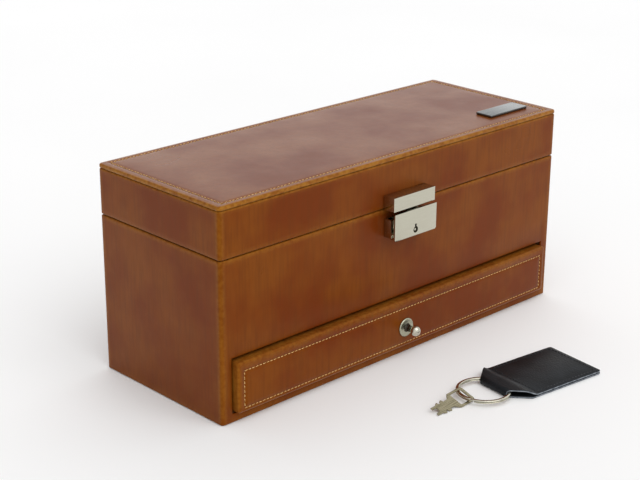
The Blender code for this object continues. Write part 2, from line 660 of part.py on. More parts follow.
def build_lock():
    base, base_top = lock_base()
    floor = lock_flap()
    lock_cam(floor)
    hasp()
    ear_out = LOCK_WIDTH / 2
    for name, side in (("left", -1), ("right", 1)):
        inner = side * (ear_out - 3.4 * MM)
        outer = side * (ear_out + 0.3 * MM)
        cap = side * (ear_out + 0.7 * MM)
        pin = place(f"lock_pin_{name}", rod_mesh(
            (inner, PIVOT_Y, PIVOT_Z), (outer + side * 0.2 * MM, PIVOT_Y, PIVOT_Z),
            LOCK_PIN_RADIUS, 16), STEEL)
        weld(pin, rod_mesh((outer, PIVOT_Y, PIVOT_Z), (cap, PIVOT_Y, PIVOT_Z), 1.2 * MM, 16))
        x = side * 9 * MM
        z = base_top - 2.2 * MM
        head = LOCK_BACK - LOCK_SHEET - FIT
        end = -WALL_Y + 2.4 * MM
        for piece in (base, bpy.data.objects["body_cover"], bpy.data.objects["front_board"]):
            cut(piece, rod_mesh((x, head, z), (x, end + FIT, z), RIVET_RADIUS + FIT, 12))
        rivet = place(f"lock_rivet_{name}", rod_mesh(
            (x, head, z), (x, head - 0.4 * MM, z), 1.7 * MM, 12), NICKEL)
        weld(rivet, rod_mesh((x, head - 0.2 * MM, z), (x, end, z), RIVET_RADIUS, 12))
    spring_back = LOCK_BACK - LOCK_SHEET - FIT
    low = FLAP_LOW + 1.4 * MM
    flex = [
        (spring_back, low), (spring_back, low + 4 * MM), (spring_back - 0.25 * MM, low + 8.5 * MM),
        (spring_back - 0.45 * MM, low + 8.5 * MM), (spring_back - 0.2 * MM, low + 4 * MM),
        (spring_back - 0.2 * MM, low),
    ]
    prism("lock_spring", [(-4 * MM, y, z) for y, z in flex], (8 * MM, 0, 0), STEEL)


# ---------------------------------------------------------------- drawer
def build_drawer():
    half = DRAWER_PANEL_WIDTH / 2
    bm = box_mesh((-half, PANEL_FRONT, PANEL_LOW), (half, PANEL_BACK, PANEL_TOP))
    front_edges = [
        e for e in bm.edges if all(abs(v.co.y - PANEL_FRONT) < MM / 10 for v in e.verts)]
    bmesh.ops.bevel(bm, geom=front_edges, offset=1.4 * MM, segments=2, affect="EDGES", profile=0.5)
    cover = place("drawer_front_cover", bm, LEATHER_TAN)
    pocket = LEATHER
    cut(cover, box_mesh(
        (-half + pocket, PANEL_FRONT + pocket, PANEL_LOW + pocket),
        (half - pocket, PANEL_BACK + MM, PANEL_TOP - pocket),
    ))
    seat = LEATHER + FIT
    board = box(
        "drawer_front_board",
        (-half + seat, PANEL_FRONT + seat, PANEL_LOW + seat),
        (half - seat, PANEL_BACK, PANEL_TOP - seat),
    )
    knob_end = PANEL_FRONT + KNOB_STUD_DEPTH
    for piece in (cover, board):
        cut(piece, rod_mesh(
            (0, PANEL_FRONT - MM, KNOB_HEIGHT), (0, knob_end + FIT, KNOB_HEIGHT),
            KNOB_STUD_RADIUS + FIT, 16))
    top = DRAWER_FLOOR + DRAWER_WALL_HEIGHT
    for name, side in (("left", -1), ("right", 1)):
        xs = sorted((side * DRAWER_X, side * (DRAWER_X - DRAWER_WALL)))
        box(f"drawer_side_{name}", (xs[0], DRAWER_FRONT, DRAWER_FLOOR), (xs[1], DRAWER_REAR, top))
    inner = DRAWER_X - DRAWER_WALL - FIT
    back = DRAWER_REAR - DRAWER_WALL
    box(
        "drawer_back",
        (-inner, back, DRAWER_FLOOR), (inner, DRAWER_REAR, DRAWER_FLOOR + DRAWER_BACK_HEIGHT),
    )
    floor = DRAWER_FLOOR + DRAWER_BOTTOM
    box("drawer_bottom", (-inner, DRAWER_FRONT, DRAWER_FLOOR), (inner, back - FIT, floor))
    open_box(
        "drawer_lining", (-inner + FIT, DRAWER_FRONT, floor + FIT), (inner - FIT, back - FIT, top),
        DRAWER_LINING, SUEDE,
    )
    build_knob(knob_end)


def build_knob(stud_end):
    """The pull: a turned knob whose stud passes through a domed rose."""
    out = Matrix.Translation((0, PANEL_FRONT, KNOB_HEIGHT)) @ Matrix.Rotation(math.pi / 2, 4, "X")
    rose = KNOB_ROSE_RADIUS
    low, high = FIT, FIT + KNOB_ROSE_THICKNESS
    rose_piece = place("knob_rose", turned_mesh([
        (0, low), (rose, low), (rose, low + 0.4 * MM), (rose * 0.93, high - 0.35 * MM),
        (rose * 0.45, high), (0, high),
    ], out), NICKEL)
    cut(rose_piece, rod_mesh(
        (0, PANEL_FRONT + MM, KNOB_HEIGHT), (0, PANEL_FRONT - 3 * MM, KNOB_HEIGHT),
        KNOB_STUD_RADIUS + FIT, 16))
    base = high + FIT
    profile = [
        (0, PANEL_FRONT - stud_end), (KNOB_STUD_RADIUS, PANEL_FRONT - stud_end),
        (KNOB_STUD_RADIUS, base), (2.4 * MM, base), (2.0 * MM, base + 0.8 * MM),
        (KNOB_NECK_RADIUS, base + 1.8 * MM),
    ]
    ball = KNOB_BALL_RADIUS
    first = math.asin(KNOB_NECK_RADIUS / ball)
    for k in range(9):
        angle = math.pi - first - (math.pi - first) * k / 9
        profile.append((ball * math.sin(angle), KNOB_REACH + ball * math.cos(angle)))
    profile.append((0, KNOB_REACH + ball))
    place("knob", turned_mesh(profile, out), NICKEL)


# ---------------------------------------------------------------- key set
def fob_frame():
    return Matrix.Translation(FOB_ORIGIN) @ Matrix.Rotation(FOB_TURN, 4, "Z")


def ring_centre():
    reach = RING_IN_FOLD - RING_RADIUS - RING_WIRE_WIDE / 2
    centre = fob_frame() @ Vector((reach, 0, 0))
    return Vector((centre.x, centre.y, RING_HEIGHT))


def build_fob():
    """A strap of leather folded round the ring and sewn to itself, standing open at the fold."""
    leaf_t = FOB_LEAF
    pocket_low = RING_HEIGHT - RING_WIRE_TALL / 2 - RING_PLAY
    pocket_high = RING_HEIGHT + RING_WIRE_TALL / 2 + RING_PLAY
    top = pocket_high + leaf_t - 0.1 * MM
    side = [
        (1.2 * MM, 0), (0.3 * MM, 0.6 * MM), (0, 0.45 * top), (0.3 * MM, top - 0.8 * MM),
        (1.4 * MM, top), (FOB_POCKET, top), (FOB_POCKET + 3.4 * MM, 0.74 * top),
        (FOB_POCKET + 6 * MM, 2 * leaf_t), (FOB_LENGTH, 2 * leaf_t), (FOB_LENGTH, 0),
    ]
    half = FOB_WIDTH / 2
    frame = fob_frame()
    item = prism(
        "key_fob", [frame @ Vector((u, -half, z)) for u, z in side],
        frame.to_3x3() @ Vector((0, 2 * half, 0)), LEATHER_BLACK,
    )
    inner = [
        (leaf_t, pocket_low), (leaf_t, pocket_high), (FOB_POCKET, pocket_high),
        (FOB_POCKET + 1.6 * MM, (pocket_low + pocket_high) / 2), (FOB_POCKET, pocket_low),
    ]
    over = half + MM
    cut(item, prism_mesh(
        [frame @ Vector((u, -over, z)) for u, z in inner],
        frame.to_3x3() @ Vector((0, 2 * over, 0)),
    ))
    for turn in (-1, 1):
        shoulder = [
            (-MM, turn * (FOB_FOLD_WIDTH / 2 - 0.7 * MM)), (-MM, turn * (half + MM)),
            (FOB_SHOULDER + 1.4 * MM, turn * (half + MM)), (FOB_SHOULDER, turn * half),
            (0, turn * FOB_FOLD_WIDTH / 2),
        ]
        cut(item, prism_mesh([frame @ Vector((u, v, -MM)) for u, v in shoulder], (0, 0, 8 * MM)))
    return item


def build_ring():
    """The split ring, its two coils taken as one band of their joint section."""
    centre = ring_centre()
    wide, tall = RING_WIRE_WIDE / 2, RING_WIRE_TALL / 2
    ease = 0.35 * MM
    section = [
        (-wide, -tall + ease), (-wide + ease, -tall), (wide - ease, -tall), (wide, -tall + ease),
        (wide, tall - ease), (wide - ease, tall), (-wide + ease, tall), (-wide, tall - ease),
    ]
    bm = bmesh.new()
    steps = 40
    loops = []
    for k in range(steps):
        angle = 2 * math.pi * k / steps
        loops.append([
            bm.verts.new(centre + Vector((
                (RING_RADIUS + a) * math.cos(angle), (RING_RADIUS + a) * math.sin(angle), b)))
            for a, b in section
        ])
    for k, loop in enumerate(loops):
        after = loops[(k + 1) % steps]
        for i in range(len(section)):
            j = (i + 1) % len(section)
            bm.faces.new((loop[i], loop[j], after[j], after[i]))
    return place("split_ring", bm, STEEL)


def build_key():
    """The flat key: bow with an oblong hole, wards, and a forked tip that straddles the post."""
    bow, hole = KEY_BOW_HALF, KEY_HOLE_HALF
    half_outline = [
        (-5.0 * MM, bow - 1.6 * MM), (-3.6 * MM, bow), (KEY_SHOULDER, bow),
        (KEY_SHOULDER + 2.8 * MM, 3.2 * MM), (14.0 * MM, 3.0 * MM), (14.6 * MM, 4.8 * MM),
        (16.2 * MM, 4.2 * MM), (16.8 * MM, 2.9 * MM), (17.8 * MM, 2.9 * MM), (18.6 * MM, 4.6 * MM),
        (20.0 * MM, 4.0 * MM), (20.4 * MM, 3.3 * MM), (24.8 * MM, 3.3 * MM),
        (24.8 * MM, 1.7 * MM), (21.4 * MM, 1.3 * MM),
    ]
    outline = half_outline + [(a, -b) for a, b in reversed(half_outline)]
    centre = ring_centre()
    outward = Vector((math.cos(KEY_ON_RING), math.sin(KEY_ON_RING), 0))
    frame = (
        Matrix.Translation(centre + RING_RADIUS * outward)
        @ Matrix.Rotation(KEY_TURN, 4, "Z")
        @ Matrix.Rotation(KEY_PITCH, 4, "Y")
        @ Matrix.Rotation(KEY_ROLL, 4, "X")
    )
    thick = KEY_THICKNESS
    item = prism(
        "key", [frame @ Vector((a, b, -thick / 2)) for a, b in outline],
        frame.to_3x3() @ Vector((0, 0, thick)), NICKEL,
    )
    near, far = -3.1 * MM, 6.2 * MM
    window = [(near, -hole), (near, hole), (far, hole), (far, -hole)]
    cut(item, prism_mesh(
        [frame @ Vector((a, b, -2 * thick)) for a, b in window],
        frame.to_3x3() @ Vector((0, 0, 4 * thick)),
    ))
    return item


def main():
    clear_scene()
    build_body()
    build_tub()
    build_lid()
    build_hinges()
    build_lock()
    build_drawer()
    build_fob()
    build_ring()
    build_key()


main()
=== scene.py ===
"""Looks of a leather covered jewellery case with its press lock, drawer and key set.

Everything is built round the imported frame, in metres: +Z up, the lock and the drawer face -Y.
Sizes inside the classes are written in millimetres and pass through MM.
"""

import logging
import math
from dataclasses import dataclass
from enum import Enum
from typing import Callable, Iterable, Sequence

import bmesh
import bpy
import numpy as np
from mathutils import Matrix, Vector


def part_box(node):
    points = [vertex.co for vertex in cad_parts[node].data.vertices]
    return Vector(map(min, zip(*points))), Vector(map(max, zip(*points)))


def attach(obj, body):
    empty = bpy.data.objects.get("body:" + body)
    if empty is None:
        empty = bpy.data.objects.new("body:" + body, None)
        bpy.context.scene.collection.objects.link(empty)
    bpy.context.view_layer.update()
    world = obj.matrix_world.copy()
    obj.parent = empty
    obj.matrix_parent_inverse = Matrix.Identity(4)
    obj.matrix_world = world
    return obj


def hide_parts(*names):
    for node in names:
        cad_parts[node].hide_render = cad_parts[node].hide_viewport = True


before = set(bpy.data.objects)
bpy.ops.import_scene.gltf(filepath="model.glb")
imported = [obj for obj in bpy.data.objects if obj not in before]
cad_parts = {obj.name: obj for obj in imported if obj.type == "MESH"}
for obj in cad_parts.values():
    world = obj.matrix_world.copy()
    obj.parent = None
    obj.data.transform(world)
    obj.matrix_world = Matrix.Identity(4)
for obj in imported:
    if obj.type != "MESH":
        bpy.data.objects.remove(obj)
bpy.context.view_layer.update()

MM = 0.001
LOG = logging.getLogger("jewellery_case")

Point = tuple[float, float]
Socket = bpy.types.NodeSocket


class Slot(Enum):
    """The record's material slots."""

    TAN = "tan_leather"
    BLACK = "black_leather"
    SUEDE = "suede"
    BOARD = "fibreboard"
    NICKEL = "nickel"
    STEEL = "steel"
    THREAD = "thread"


class Body(Enum):
    """The bodies of the frame that pieces ride on."""

    CASE = "case"
    LID = "lid"
    DRAWER = "drawer"
    FLAP = "lock_flap"
    CAM = "lock_cam"
    FOB = "key_fob"
    RING = "key_ring"
    KEY = "key"


# ---------------------------------------------------------------- colour and nodes
def linear(hex_colour: str) -> tuple[float, float, float, float]:
    """Turn an sRGB colour into the linear one that a shader takes.

    Args:
        hex_colour: six hex digits after a hash.

    Returns:
        Red, green, blue and alpha.
    """
    parts = [int(hex_colour[i:i + 2], 16) / 255 for i in (1, 3, 5)]
    bent = [p / 12.92 if p <= 0.04045 else ((p + 0.055) / 1.055) ** 2.4 for p in parts]
    return (bent[0], bent[1], bent[2], 1.0)


def per_metre(millimetres: float) -> float:
    """Texture scale that makes one feature about this many millimetres wide."""
    return 1.0 / (millimetres * MM)


def add(
    tree: bpy.types.NodeTree, kind: str, settings: dict | None = None, sockets: dict | None = None
) -> bpy.types.Node:
    """Add a node with its settings, its values and its links.

    Args:
        tree: node tree to add to.
        kind: Blender's name for the node.
        settings: attributes of the node itself.
        sockets: input name or number to a value, or to the output socket that feeds it.

    Returns:
        The new node.
    """
    node = tree.nodes.new(kind)
    for key, value in (settings or {}).items():
        setattr(node, key, value)
    for key, value in (sockets or {}).items():
        if isinstance(value, bpy.types.NodeSocket):
            tree.links.new(value, node.inputs[key])
        else:
            node.inputs[key].default_value = value
    return node


# ---------------------------------------------------------------- finishes
class Surface:
    """A material in the making, with the few steps that the finishes are made of."""

    def __init__(self, name: str) -> None:
        """Start a material that is laid out in real lengths."""
        self.material = bpy.data.materials.new(name)
        self.material.use_nodes = True
        self.tree = self.material.node_tree
        self.shader = self.tree.nodes["Principled BSDF"]
        self.spot = add(self.tree, "ShaderNodeTexCoord").outputs["Object"]

    def stretch(self, *sizes: float) -> Socket:
        """Space whose unit is this many millimetres along X, Y and Z."""
        return add(self.tree, "ShaderNodeMapping", None, {
            "Vector": self.spot, "Scale": tuple(per_metre(size) for size in sizes)}).outputs["Vector"]

    def noise(self, size: float, detail: float, **more: float) -> Socket:
        """Noise with patches about this many millimetres wide."""
        return add(self.tree, "ShaderNodeTexNoise", None, {
            "Vector": self.spot, "Scale": per_metre(size), "Detail": detail, **more}).outputs["Fac"]

    def noise_in(self, space: Socket, detail: float) -> Socket:
        """Noise in a stretched space."""
        return add(self.tree, "ShaderNodeTexNoise", None, {
            "Vector": space, "Scale": 1.0, "Detail": detail}).outputs["Fac"]

    def tint(self, amount: Socket, *stops: tuple[float, str]) -> Socket:
        """Colours spread over an amount."""
        node = add(self.tree, "ShaderNodeValToRGB", None, {"Fac": amount})
        band = node.color_ramp
        while len(band.elements) < len(stops):
            band.elements.new(0.5)
        for element, (place, colour) in zip(band.elements, stops):
            element.position = place
            element.color = linear(colour)
        return node.outputs["Color"]

    def spread(self, value: Socket, source: Point, target: Point) -> Socket:
        """Move a value from one range to another."""
        return add(self.tree, "ShaderNodeMapRange", None, {
            "Value": value, "From Min": source[0], "From Max": source[1],
            "To Min": target[0], "To Max": target[1]}).outputs["Result"]

    def mix(self, factor: Socket, first: Socket, second: str) -> Socket:
        """Blend a colour towards a fixed one."""
        return add(self.tree, "ShaderNodeMix", {"data_type": "RGBA"}, {
            "Factor": factor, 6: first, 7: linear(second)}).outputs[2]

    def relief(
        self, height: Socket, strength: float, depth: float, under: Socket | None = None,
        invert: bool = False,
    ) -> Socket:
        """Bump of a depth in millimetres, over what lies under it."""
        sockets = {"Height": height, "Strength": strength, "Distance": depth * MM}
        if under:
            sockets["Normal"] = under
        return add(self.tree, "ShaderNodeBump", {"invert": invert}, sockets).outputs["Normal"]

    def done(self, **values: Socket | float | Sequence[float]) -> bpy.types.Material:
        """Set the shader's inputs, with _ for a space in their names, and hand over the material."""
        for key, value in values.items():
            socket = self.shader.inputs[key.replace("_", " ")]
            if isinstance(value, bpy.types.NodeSocket):
                self.tree.links.new(value, socket)
            else:
                socket.default_value = value
        return self.material


@dataclass(frozen=True)
class PolishedCalf:
    """Calf leather, drum dyed tan and polished by hand with wax.

    The dye sinks in unevenly, so the brown drifts into redder clouds with faint upright streaks;
    the wax gives a soft gloss that washes the colour out at low angles, and folded edges are
    worn back to gold. The same gold is painted on rounded edges and corners as their highlight.
    """

    name: str = "polished_calf_leather_tan"
    brown: str = "#783E0B"
    red_brown: str = "#6A2B04"
    deep: str = "#5A2C0A"
    # gold of edges worn bare, also used as the painted highlight of rounded edges
    rubbed_gold_and_highlight: str = "#A8742C"
    wax: str = "#F39A3C"  # warm glaze: what it mirrors face on takes its colour
    cloud: float = 46.0
    fold: float = 14.0
    scuff: float = 2.4
    streak: float = 1.6
    streak_length: float = 20.0
    pore: float = 0.9  # pores are 0.1 to 0.2 mm; drawn coarser so that they show
    ior: float = 1.36
    roughness: float = 0.32

    def make(self) -> bpy.types.Material:
        """Build the material."""
        made = Surface(self.name)
        cloud = made.noise(self.cloud, 3.0, Roughness=0.55)
        streak = made.noise_in(made.stretch(self.streak, self.streak, self.streak_length), 2.0)
        colour = made.mix(
            made.spread(streak, (0.42, 0.72), (0.0, 0.42)),
            made.tint(cloud, (0.38, self.brown), (0.60, self.red_brown)), self.deep)
        # how far each point is worn, together with the painted highlight on rounded edges and corners
        wear_and_highlight_map = add(made.tree, "ShaderNodeAttribute", {"attribute_name": "wear_and_highlight"})
        scuffed = made.spread(made.noise(self.scuff, 4.0), (0.35, 0.62), (0.35, 1.0))
        wear_and_highlight = add(made.tree, "ShaderNodeMath", {"operation": "MULTIPLY"}, {
            0: wear_and_highlight_map.outputs["Fac"], 1: scuffed})
        pores = add(made.tree, "ShaderNodeTexVoronoi", {"feature": "DISTANCE_TO_EDGE"}, {
            "Vector": made.spot, "Scale": per_metre(self.pore)})
        skin = made.relief(pores.outputs["Distance"], 0.10, 0.12)
        return made.done(
            Base_Color=made.mix(wear_and_highlight.outputs["Value"], colour, self.rubbed_gold_and_highlight),
            Roughness=made.spread(cloud, (0.3, 0.7), (self.roughness - 0.05, self.roughness + 0.06)),
            Normal=made.relief(made.noise(self.fold, 2.0), 0.30, 0.5, skin),
            IOR=self.ior, Specular_Tint=linear(self.wax))


@dataclass(frozen=True)
class PebbledCowhide:
    """Cowhide, dyed black and plated with a fine pebble: small soft glints on near black."""

    name: str = "pebbled_cowhide_black"
    black: str = "#121417"
    worn: str = "#1F2226"
    cloud: float = 12.0
    pebble: float = 1.0
    ior: float = 1.25
    roughness: float = 0.5

    def make(self) -> bpy.types.Material:
        """Build the material."""
        made = Surface(self.name)
        cells = add(made.tree, "ShaderNodeTexVoronoi", {"feature": "SMOOTH_F1"}, {
            "Vector": made.spot, "Scale": per_metre(self.pebble)})
        return made.done(
            Base_Color=made.tint(made.noise(self.cloud, 5.0), (0.35, self.black), (0.7, self.worn)),
            Normal=made.relief(cells.outputs["Distance"], 0.55, 0.25, invert=True),
            IOR=self.ior, Roughness=self.roughness)


@dataclass(frozen=True)
class CutEdge:
    """The cut edge of black leather: the undyed core shows as a matt grey line."""

    name: str = "cut_leather_edge"
    core: str = "#8A9098"
    dyed: str = "#545B63"
    fibre: float = 2.0
    roughness: float = 0.7

    def make(self) -> bpy.types.Material:
        """Build the material."""
        made = Surface(self.name)
        fibres = made.noise(self.fibre, 6.0)
        return made.done(
            Base_Color=made.tint(fibres, (0.35, self.dyed), (0.6, self.core)),
            Normal=made.relief(fibres, 0.4, 0.1), Roughness=self.roughness)


@dataclass(frozen=True)
class Suede:
    """Split leather brushed to a short nap: matt, a little lighter where the nap lies over."""

    name: str = "brushed_suede_lining"
    nap: str = "#AC885C"
    shade: str = "#9F7B50"
    brushed: float = 22.0
    fibre: float = 0.45
    roughness: float = 0.95
    sheen: float = 0.35
    sheen_roughness: float = 0.4

    def make(self) -> bpy.types.Material:
        """Build the material."""
        made = Surface(self.name)
        stroke = made.noise(self.brushed, 3.0, Distortion=0.3)
        return made.done(
            Base_Color=made.tint(stroke, (0.38, self.shade), (0.62, self.nap)),
            Normal=made.relief(made.noise(self.fibre, 3.0), 0.6, 0.2), Roughness=self.roughness,
            Sheen_Weight=self.sheen, Sheen_Roughness=self.sheen_roughness)


@dataclass(frozen=True)
class Fibreboard:
    """Pressed fibreboard, sanded and sealed brown: dull, with short flecks of fibre."""

    name: str = "pressed_fibreboard"
    sealed: str = "#6B4526"
    fleck: str = "#8F6A40"
    fibre: float = 1.6
    roughness: float = 0.75

    def make(self) -> bpy.types.Material:
        """Build the material."""
        made = Surface(self.name)
        flecks = made.noise_in(made.stretch(self.fibre * 4, self.fibre, self.fibre), 5.0)
        return made.done(
            Base_Color=made.tint(flecks, (0.42, self.sealed), (0.7, self.fleck)),
            Normal=made.relief(flecks, 0.3, 0.15), Roughness=self.roughness)


@dataclass(frozen=True)
class SatinNickel:
    """Nickel plate over pressed brass, finely brushed: a warm grey metal, a little blurred."""

    name: str = "satin_nickel_plate"
    plate: str = "#C3C0B0"
    dull: str = "#BBB7A6"
    roughness: float = 0.16
    hair: float = 0.35  # brush lines are finer; drawn as coarse as they need to show
    hair_length: float = 12.0
    turned: bool = False
    streak: float = 0.75

    def make(self) -> bpy.types.Material:
        """Build the material."""
        made = Surface(self.name)
        hairs = made.noise_in(made.stretch(self.hair_length, self.hair, self.hair), 3.0)
        if self.turned:
            # turned on a lathe: the fine rings stretch each highlight into a radial streak
            around = add(made.tree, "ShaderNodeTangent", {"direction_type": "RADIAL", "axis": "Z"})
            made.done(Tangent=around.outputs["Tangent"], Anisotropic=self.streak)
        return made.done(
            Base_Color=made.tint(hairs, (0.35, self.dull), (0.65, self.plate)),
            Roughness=made.spread(hairs, (0.3, 0.7), (self.roughness - 0.05, self.roughness + 0.07)),
            Normal=made.relief(hairs, 0.05, 0.05), Metallic=1.0)


@dataclass(frozen=True)
class WaxedThread:
    """Linen thread pulled through wax: pale gold, slightly shiny, with its twist just visible."""

    name: str = "waxed_linen_thread_gold"
    light: str = "#E2B778"
    dark: str = "#B5843F"
    twist: float = 0.5
    roughness: float = 0.55

    def make(self) -> bpy.types.Material:
        """Build the material."""
        made = Surface(self.name)
        strands = add(
            made.tree, "ShaderNodeTexWave", {"wave_type": "BANDS", "bands_direction": "DIAGONAL"}, {
                "Vector": made.spot, "Scale": per_metre(self.twist) / math.tau,
                "Distortion": 1.0}).outputs["Fac"]
        return made.done(
            Base_Color=made.tint(strands, (0.2, self.dark), (0.7, self.light)),
            Normal=made.relief(strands, 0.4, 0.08), Roughness=self.roughness)


class Finishes:
    """Every material of the case, made once."""

    def __init__(self) -> None:
        """Make them."""
        self.tan = PolishedCalf().make()
        self.black = PebbledCowhide().make()
        self.cut_edge = CutEdge().make()
        self.suede = Suede().make()
        self.board = Fibreboard().make()
        self.nickel = SatinNickel().make()
        self.turned_nickel = SatinNickel("turned_nickel", "#BDBDA8", "#A3A38E", 0.24, turned=True).make()
        self.key_nickel = SatinNickel("stamped_nickel_silver", "#A79F84", "#7F7860", 0.26).make()
        self.steel = SatinNickel("bright_drawn_steel", "#D2CFC0", "#BDB9A8", 0.10).make()
        self.plate = SatinNickel("dark_brushed_plate", "#7C7F7F", "#5E6162", 0.20).make()
        # painted shade: dark steel stands for the shadow in the keyhole behind the cam and the dark
        # surroundings mirrored by the knob's waist
        self.shaded_steel = SatinNickel("steel_with_painted_shade", "#5C584E", "#34312B", 0.20).make()
        self.thread = WaxedThread().make()
        self.dark_thread = WaxedThread("waxed_thread_black", "#2A2D31", "#14161A").make()


# ---------------------------------------------------------------- mesh making
def rounded(
    low: Point, high: Point, radius: float, marks: Sequence[float] = (),
    side_marks: Sequence[float] = (), steps: int = 8,
) -> list[Point]:
    """A rectangle with rounded corners, as points that run round it once.

    Args:
        low: its low corner.
        high: its high corner.
        radius: corner radius.
        marks: extra points wanted along the two long edges, low to high.
        side_marks: extra points wanted along the two ends, low to high.
        steps: segments in a corner.

    Returns:
        The points, anticlockwise.
    """
    bend = max(radius, 0.2 * MM)
    turns = (
        (high[0] - bend, high[1] - bend), (low[0] + bend, high[1] - bend),
        (low[0] + bend, low[1] + bend), (high[0] - bend, low[1] + bend),
    )
    runs = (
        [(x, high[1]) for x in reversed(marks)], [(low[0], y) for y in reversed(side_marks)],
        [(x, low[1]) for x in marks], [(high[0], y) for y in side_marks],
    )
    points: list[Point] = []
    for quarter, (centre, run) in enumerate(zip(turns, runs)):
        for k in range(steps + 1):
            angle = math.radians(90 * (quarter + k / steps))
            points.append((centre[0] + bend * math.cos(angle), centre[1] + bend * math.sin(angle)))
        points += run
    return points


def quarter_round(
    start: Point, end: Point, steps: int = 4, first_axis: int = 1
) -> list[Point]:
    """Points of a quarter round between two profile points.

    Args:
        start: first point, where the curve runs along first_axis.
        end: last point, where it runs along the other axis.
        steps: segments in the curve.
        first_axis: 0 or 1, the axis that the curve leaves along.

    Returns:
        The points, both ends included.
    """
    points = []
    for k in range(steps + 1):
        angle = math.pi / 2 * k / steps
        slow, fast = 1 - math.cos(angle), math.sin(angle)
        shares = (slow, fast) if first_axis else (fast, slow)
        points.append(tuple(start[i] + (end[i] - start[i]) * shares[i] for i in (0, 1)))
    return points


def at_height(points: Iterable[Point], height: float) -> list[Vector]:
    """Lay the points of an outline at one height."""
    return [Vector((x, y, height)) for x, y in points]


def eased_section(wide: float, tall: float, ease: float, middle: bool = False) -> list[Point]:
    """Cross-section of a flat strip with eased corners, from its half width and half height."""
    between = [(0.0, -tall)] if middle else []
    below = [
        (-wide, -tall + ease), (-wide + ease, -tall), *between, (wide - ease, -tall),
        (wide, -tall + ease)]
    return below + [(-x, -y) for x, y in below]


def skin(
    bm: bmesh.types.BMesh, rings: Sequence[Sequence[Vector]], ring_closed: bool = False
) -> None:
    """Skin a row of closed rings that have the same number of points.

    Args:
        bm: mesh that the skin is added to.
        rings: the rings, in order.
        ring_closed: whether the last ring joins the first, for a hollow band; both are filled if not.
    """
    loops = [[bm.verts.new(p) for p in ring] for ring in rings]
    pairs = list(zip(loops, loops[1:]))
    if ring_closed:
        pairs.append((loops[-1], loops[0]))
    for lower, upper in pairs:
        count = len(lower)
        for k in range(count):
            j = (k + 1) % count
            bm.faces.new((lower[k], lower[j], upper[j], upper[k]))
    if not ring_closed:
        bm.faces.new(loops[0])
        bm.faces.new(loops[-1])


def loft(rings: Sequence[Sequence[Vector]], ring_closed: bool = False) -> bmesh.types.BMesh:
    """Skin rings as a mesh of their own, with points that fall together joined."""
    bm = bmesh.new()
    skin(bm, rings, ring_closed)
    bmesh.ops.remove_doubles(bm, verts=bm.verts, dist=1e-7)
    return bm


def finish_mesh(
    name: str, bm: bmesh.types.BMesh, materials: Sequence[bpy.types.Material], angle: float = 40.0
) -> bpy.types.Object:
    """Turn a bmesh into a smooth shaded object.

    Args:
        name: name of the piece.
        bm: its mesh, which is freed.
        materials: materials by face index.
        angle: edges sharper than this many degrees stay sharp.

    Returns:
        The object.
    """
    bmesh.ops.recalc_face_normals(bm, faces=bm.faces)
    mesh = bpy.data.meshes.new(name)
    bm.to_mesh(mesh)
    bm.free()
    mesh.shade_smooth()
    mesh.set_sharp_from_angle(angle=math.radians(angle))
    for material in materials:
        mesh.materials.append(material)
    made = bpy.data.objects.new(name, mesh)
    bpy.context.scene.collection.objects.link(made)
    return made


def turned(
    profile: Sequence[Point], axis: Matrix, steps: int = 64
) -> bmesh.types.BMesh:
    """Turn (radius, height) points, which start and end on the axis, round the local Z axis."""
    bm = bmesh.new()
    low = bm.verts.new(axis @ Vector((0, 0, profile[0][1])))
    high = bm.verts.new(axis @ Vector((0, 0, profile[-1][1])))
    rings = []
    for radius, height in profile[1:-1]:
        angles = [math.tau * k / steps for k in range(steps)]
        rings.append([
            bm.verts.new(axis @ Vector((radius * math.cos(a), radius * math.sin(a), height)))
            for a in angles])
    for k in range(steps):
        j = (k + 1) % steps
        bm.faces.new((low, rings[0][j], rings[0][k]))
        bm.faces.new((high, rings[-1][k], rings[-1][j]))
        for inner, outer in zip(rings, rings[1:]):
            bm.faces.new((inner[k], inner[j], outer[j], outer[k]))
    return bm


def stamped_plate(
    name: str, outline: Sequence[Point], holes: Sequence[Sequence[Point]], thickness: float,
    ease: float, place: Matrix, material: bpy.types.Material,
) -> bpy.types.Object:
    """A flat plate with holes and rolled edges, as a press leaves it.

    Args:
        name: name of the piece.
        outline: its outline in its own plane.
        holes: outlines of its holes.
        thickness: whole thickness.
        ease: radius of its edges.
        place: from its own plane to the frame, with the plate's middle at height 0.
        material: its finish.

    Returns:
        The object.
    """
    curve = bpy.data.curves.new(name, "CURVE")
    curve.dimensions = "2D"
    curve.fill_mode = "BOTH"
    curve.extrude = thickness / 2 - ease
    curve.bevel_depth = ease
    curve.bevel_resolution = 2
    curve.offset = -ease
    for points in (outline, *holes):
        spline = curve.splines.new("POLY")
        spline.points.add(len(points) - 1)
        spline.points.foreach_set("co", [c for x, y in points for c in (x, y, 0.0, 1.0)])
        spline.use_cyclic_u = True
    carrier = bpy.data.objects.new(name + "_curve", curve)
    bpy.context.scene.collection.objects.link(carrier)
    bpy.context.view_layer.update()
    flat = bpy.data.meshes.new_from_object(carrier.evaluated_get(bpy.context.evaluated_depsgraph_get()))
    bpy.data.objects.remove(carrier)
    bpy.data.curves.remove(curve)
    bm = bmesh.new()
    bm.from_mesh(flat)
    bpy.data.meshes.remove(flat)
    bmesh.ops.remove_doubles(bm, verts=bm.verts, dist=1e-6)
    bm.transform(place)
    for face in bm.faces:
        face.material_index = 0
    return finish_mesh(name, bm, [material])


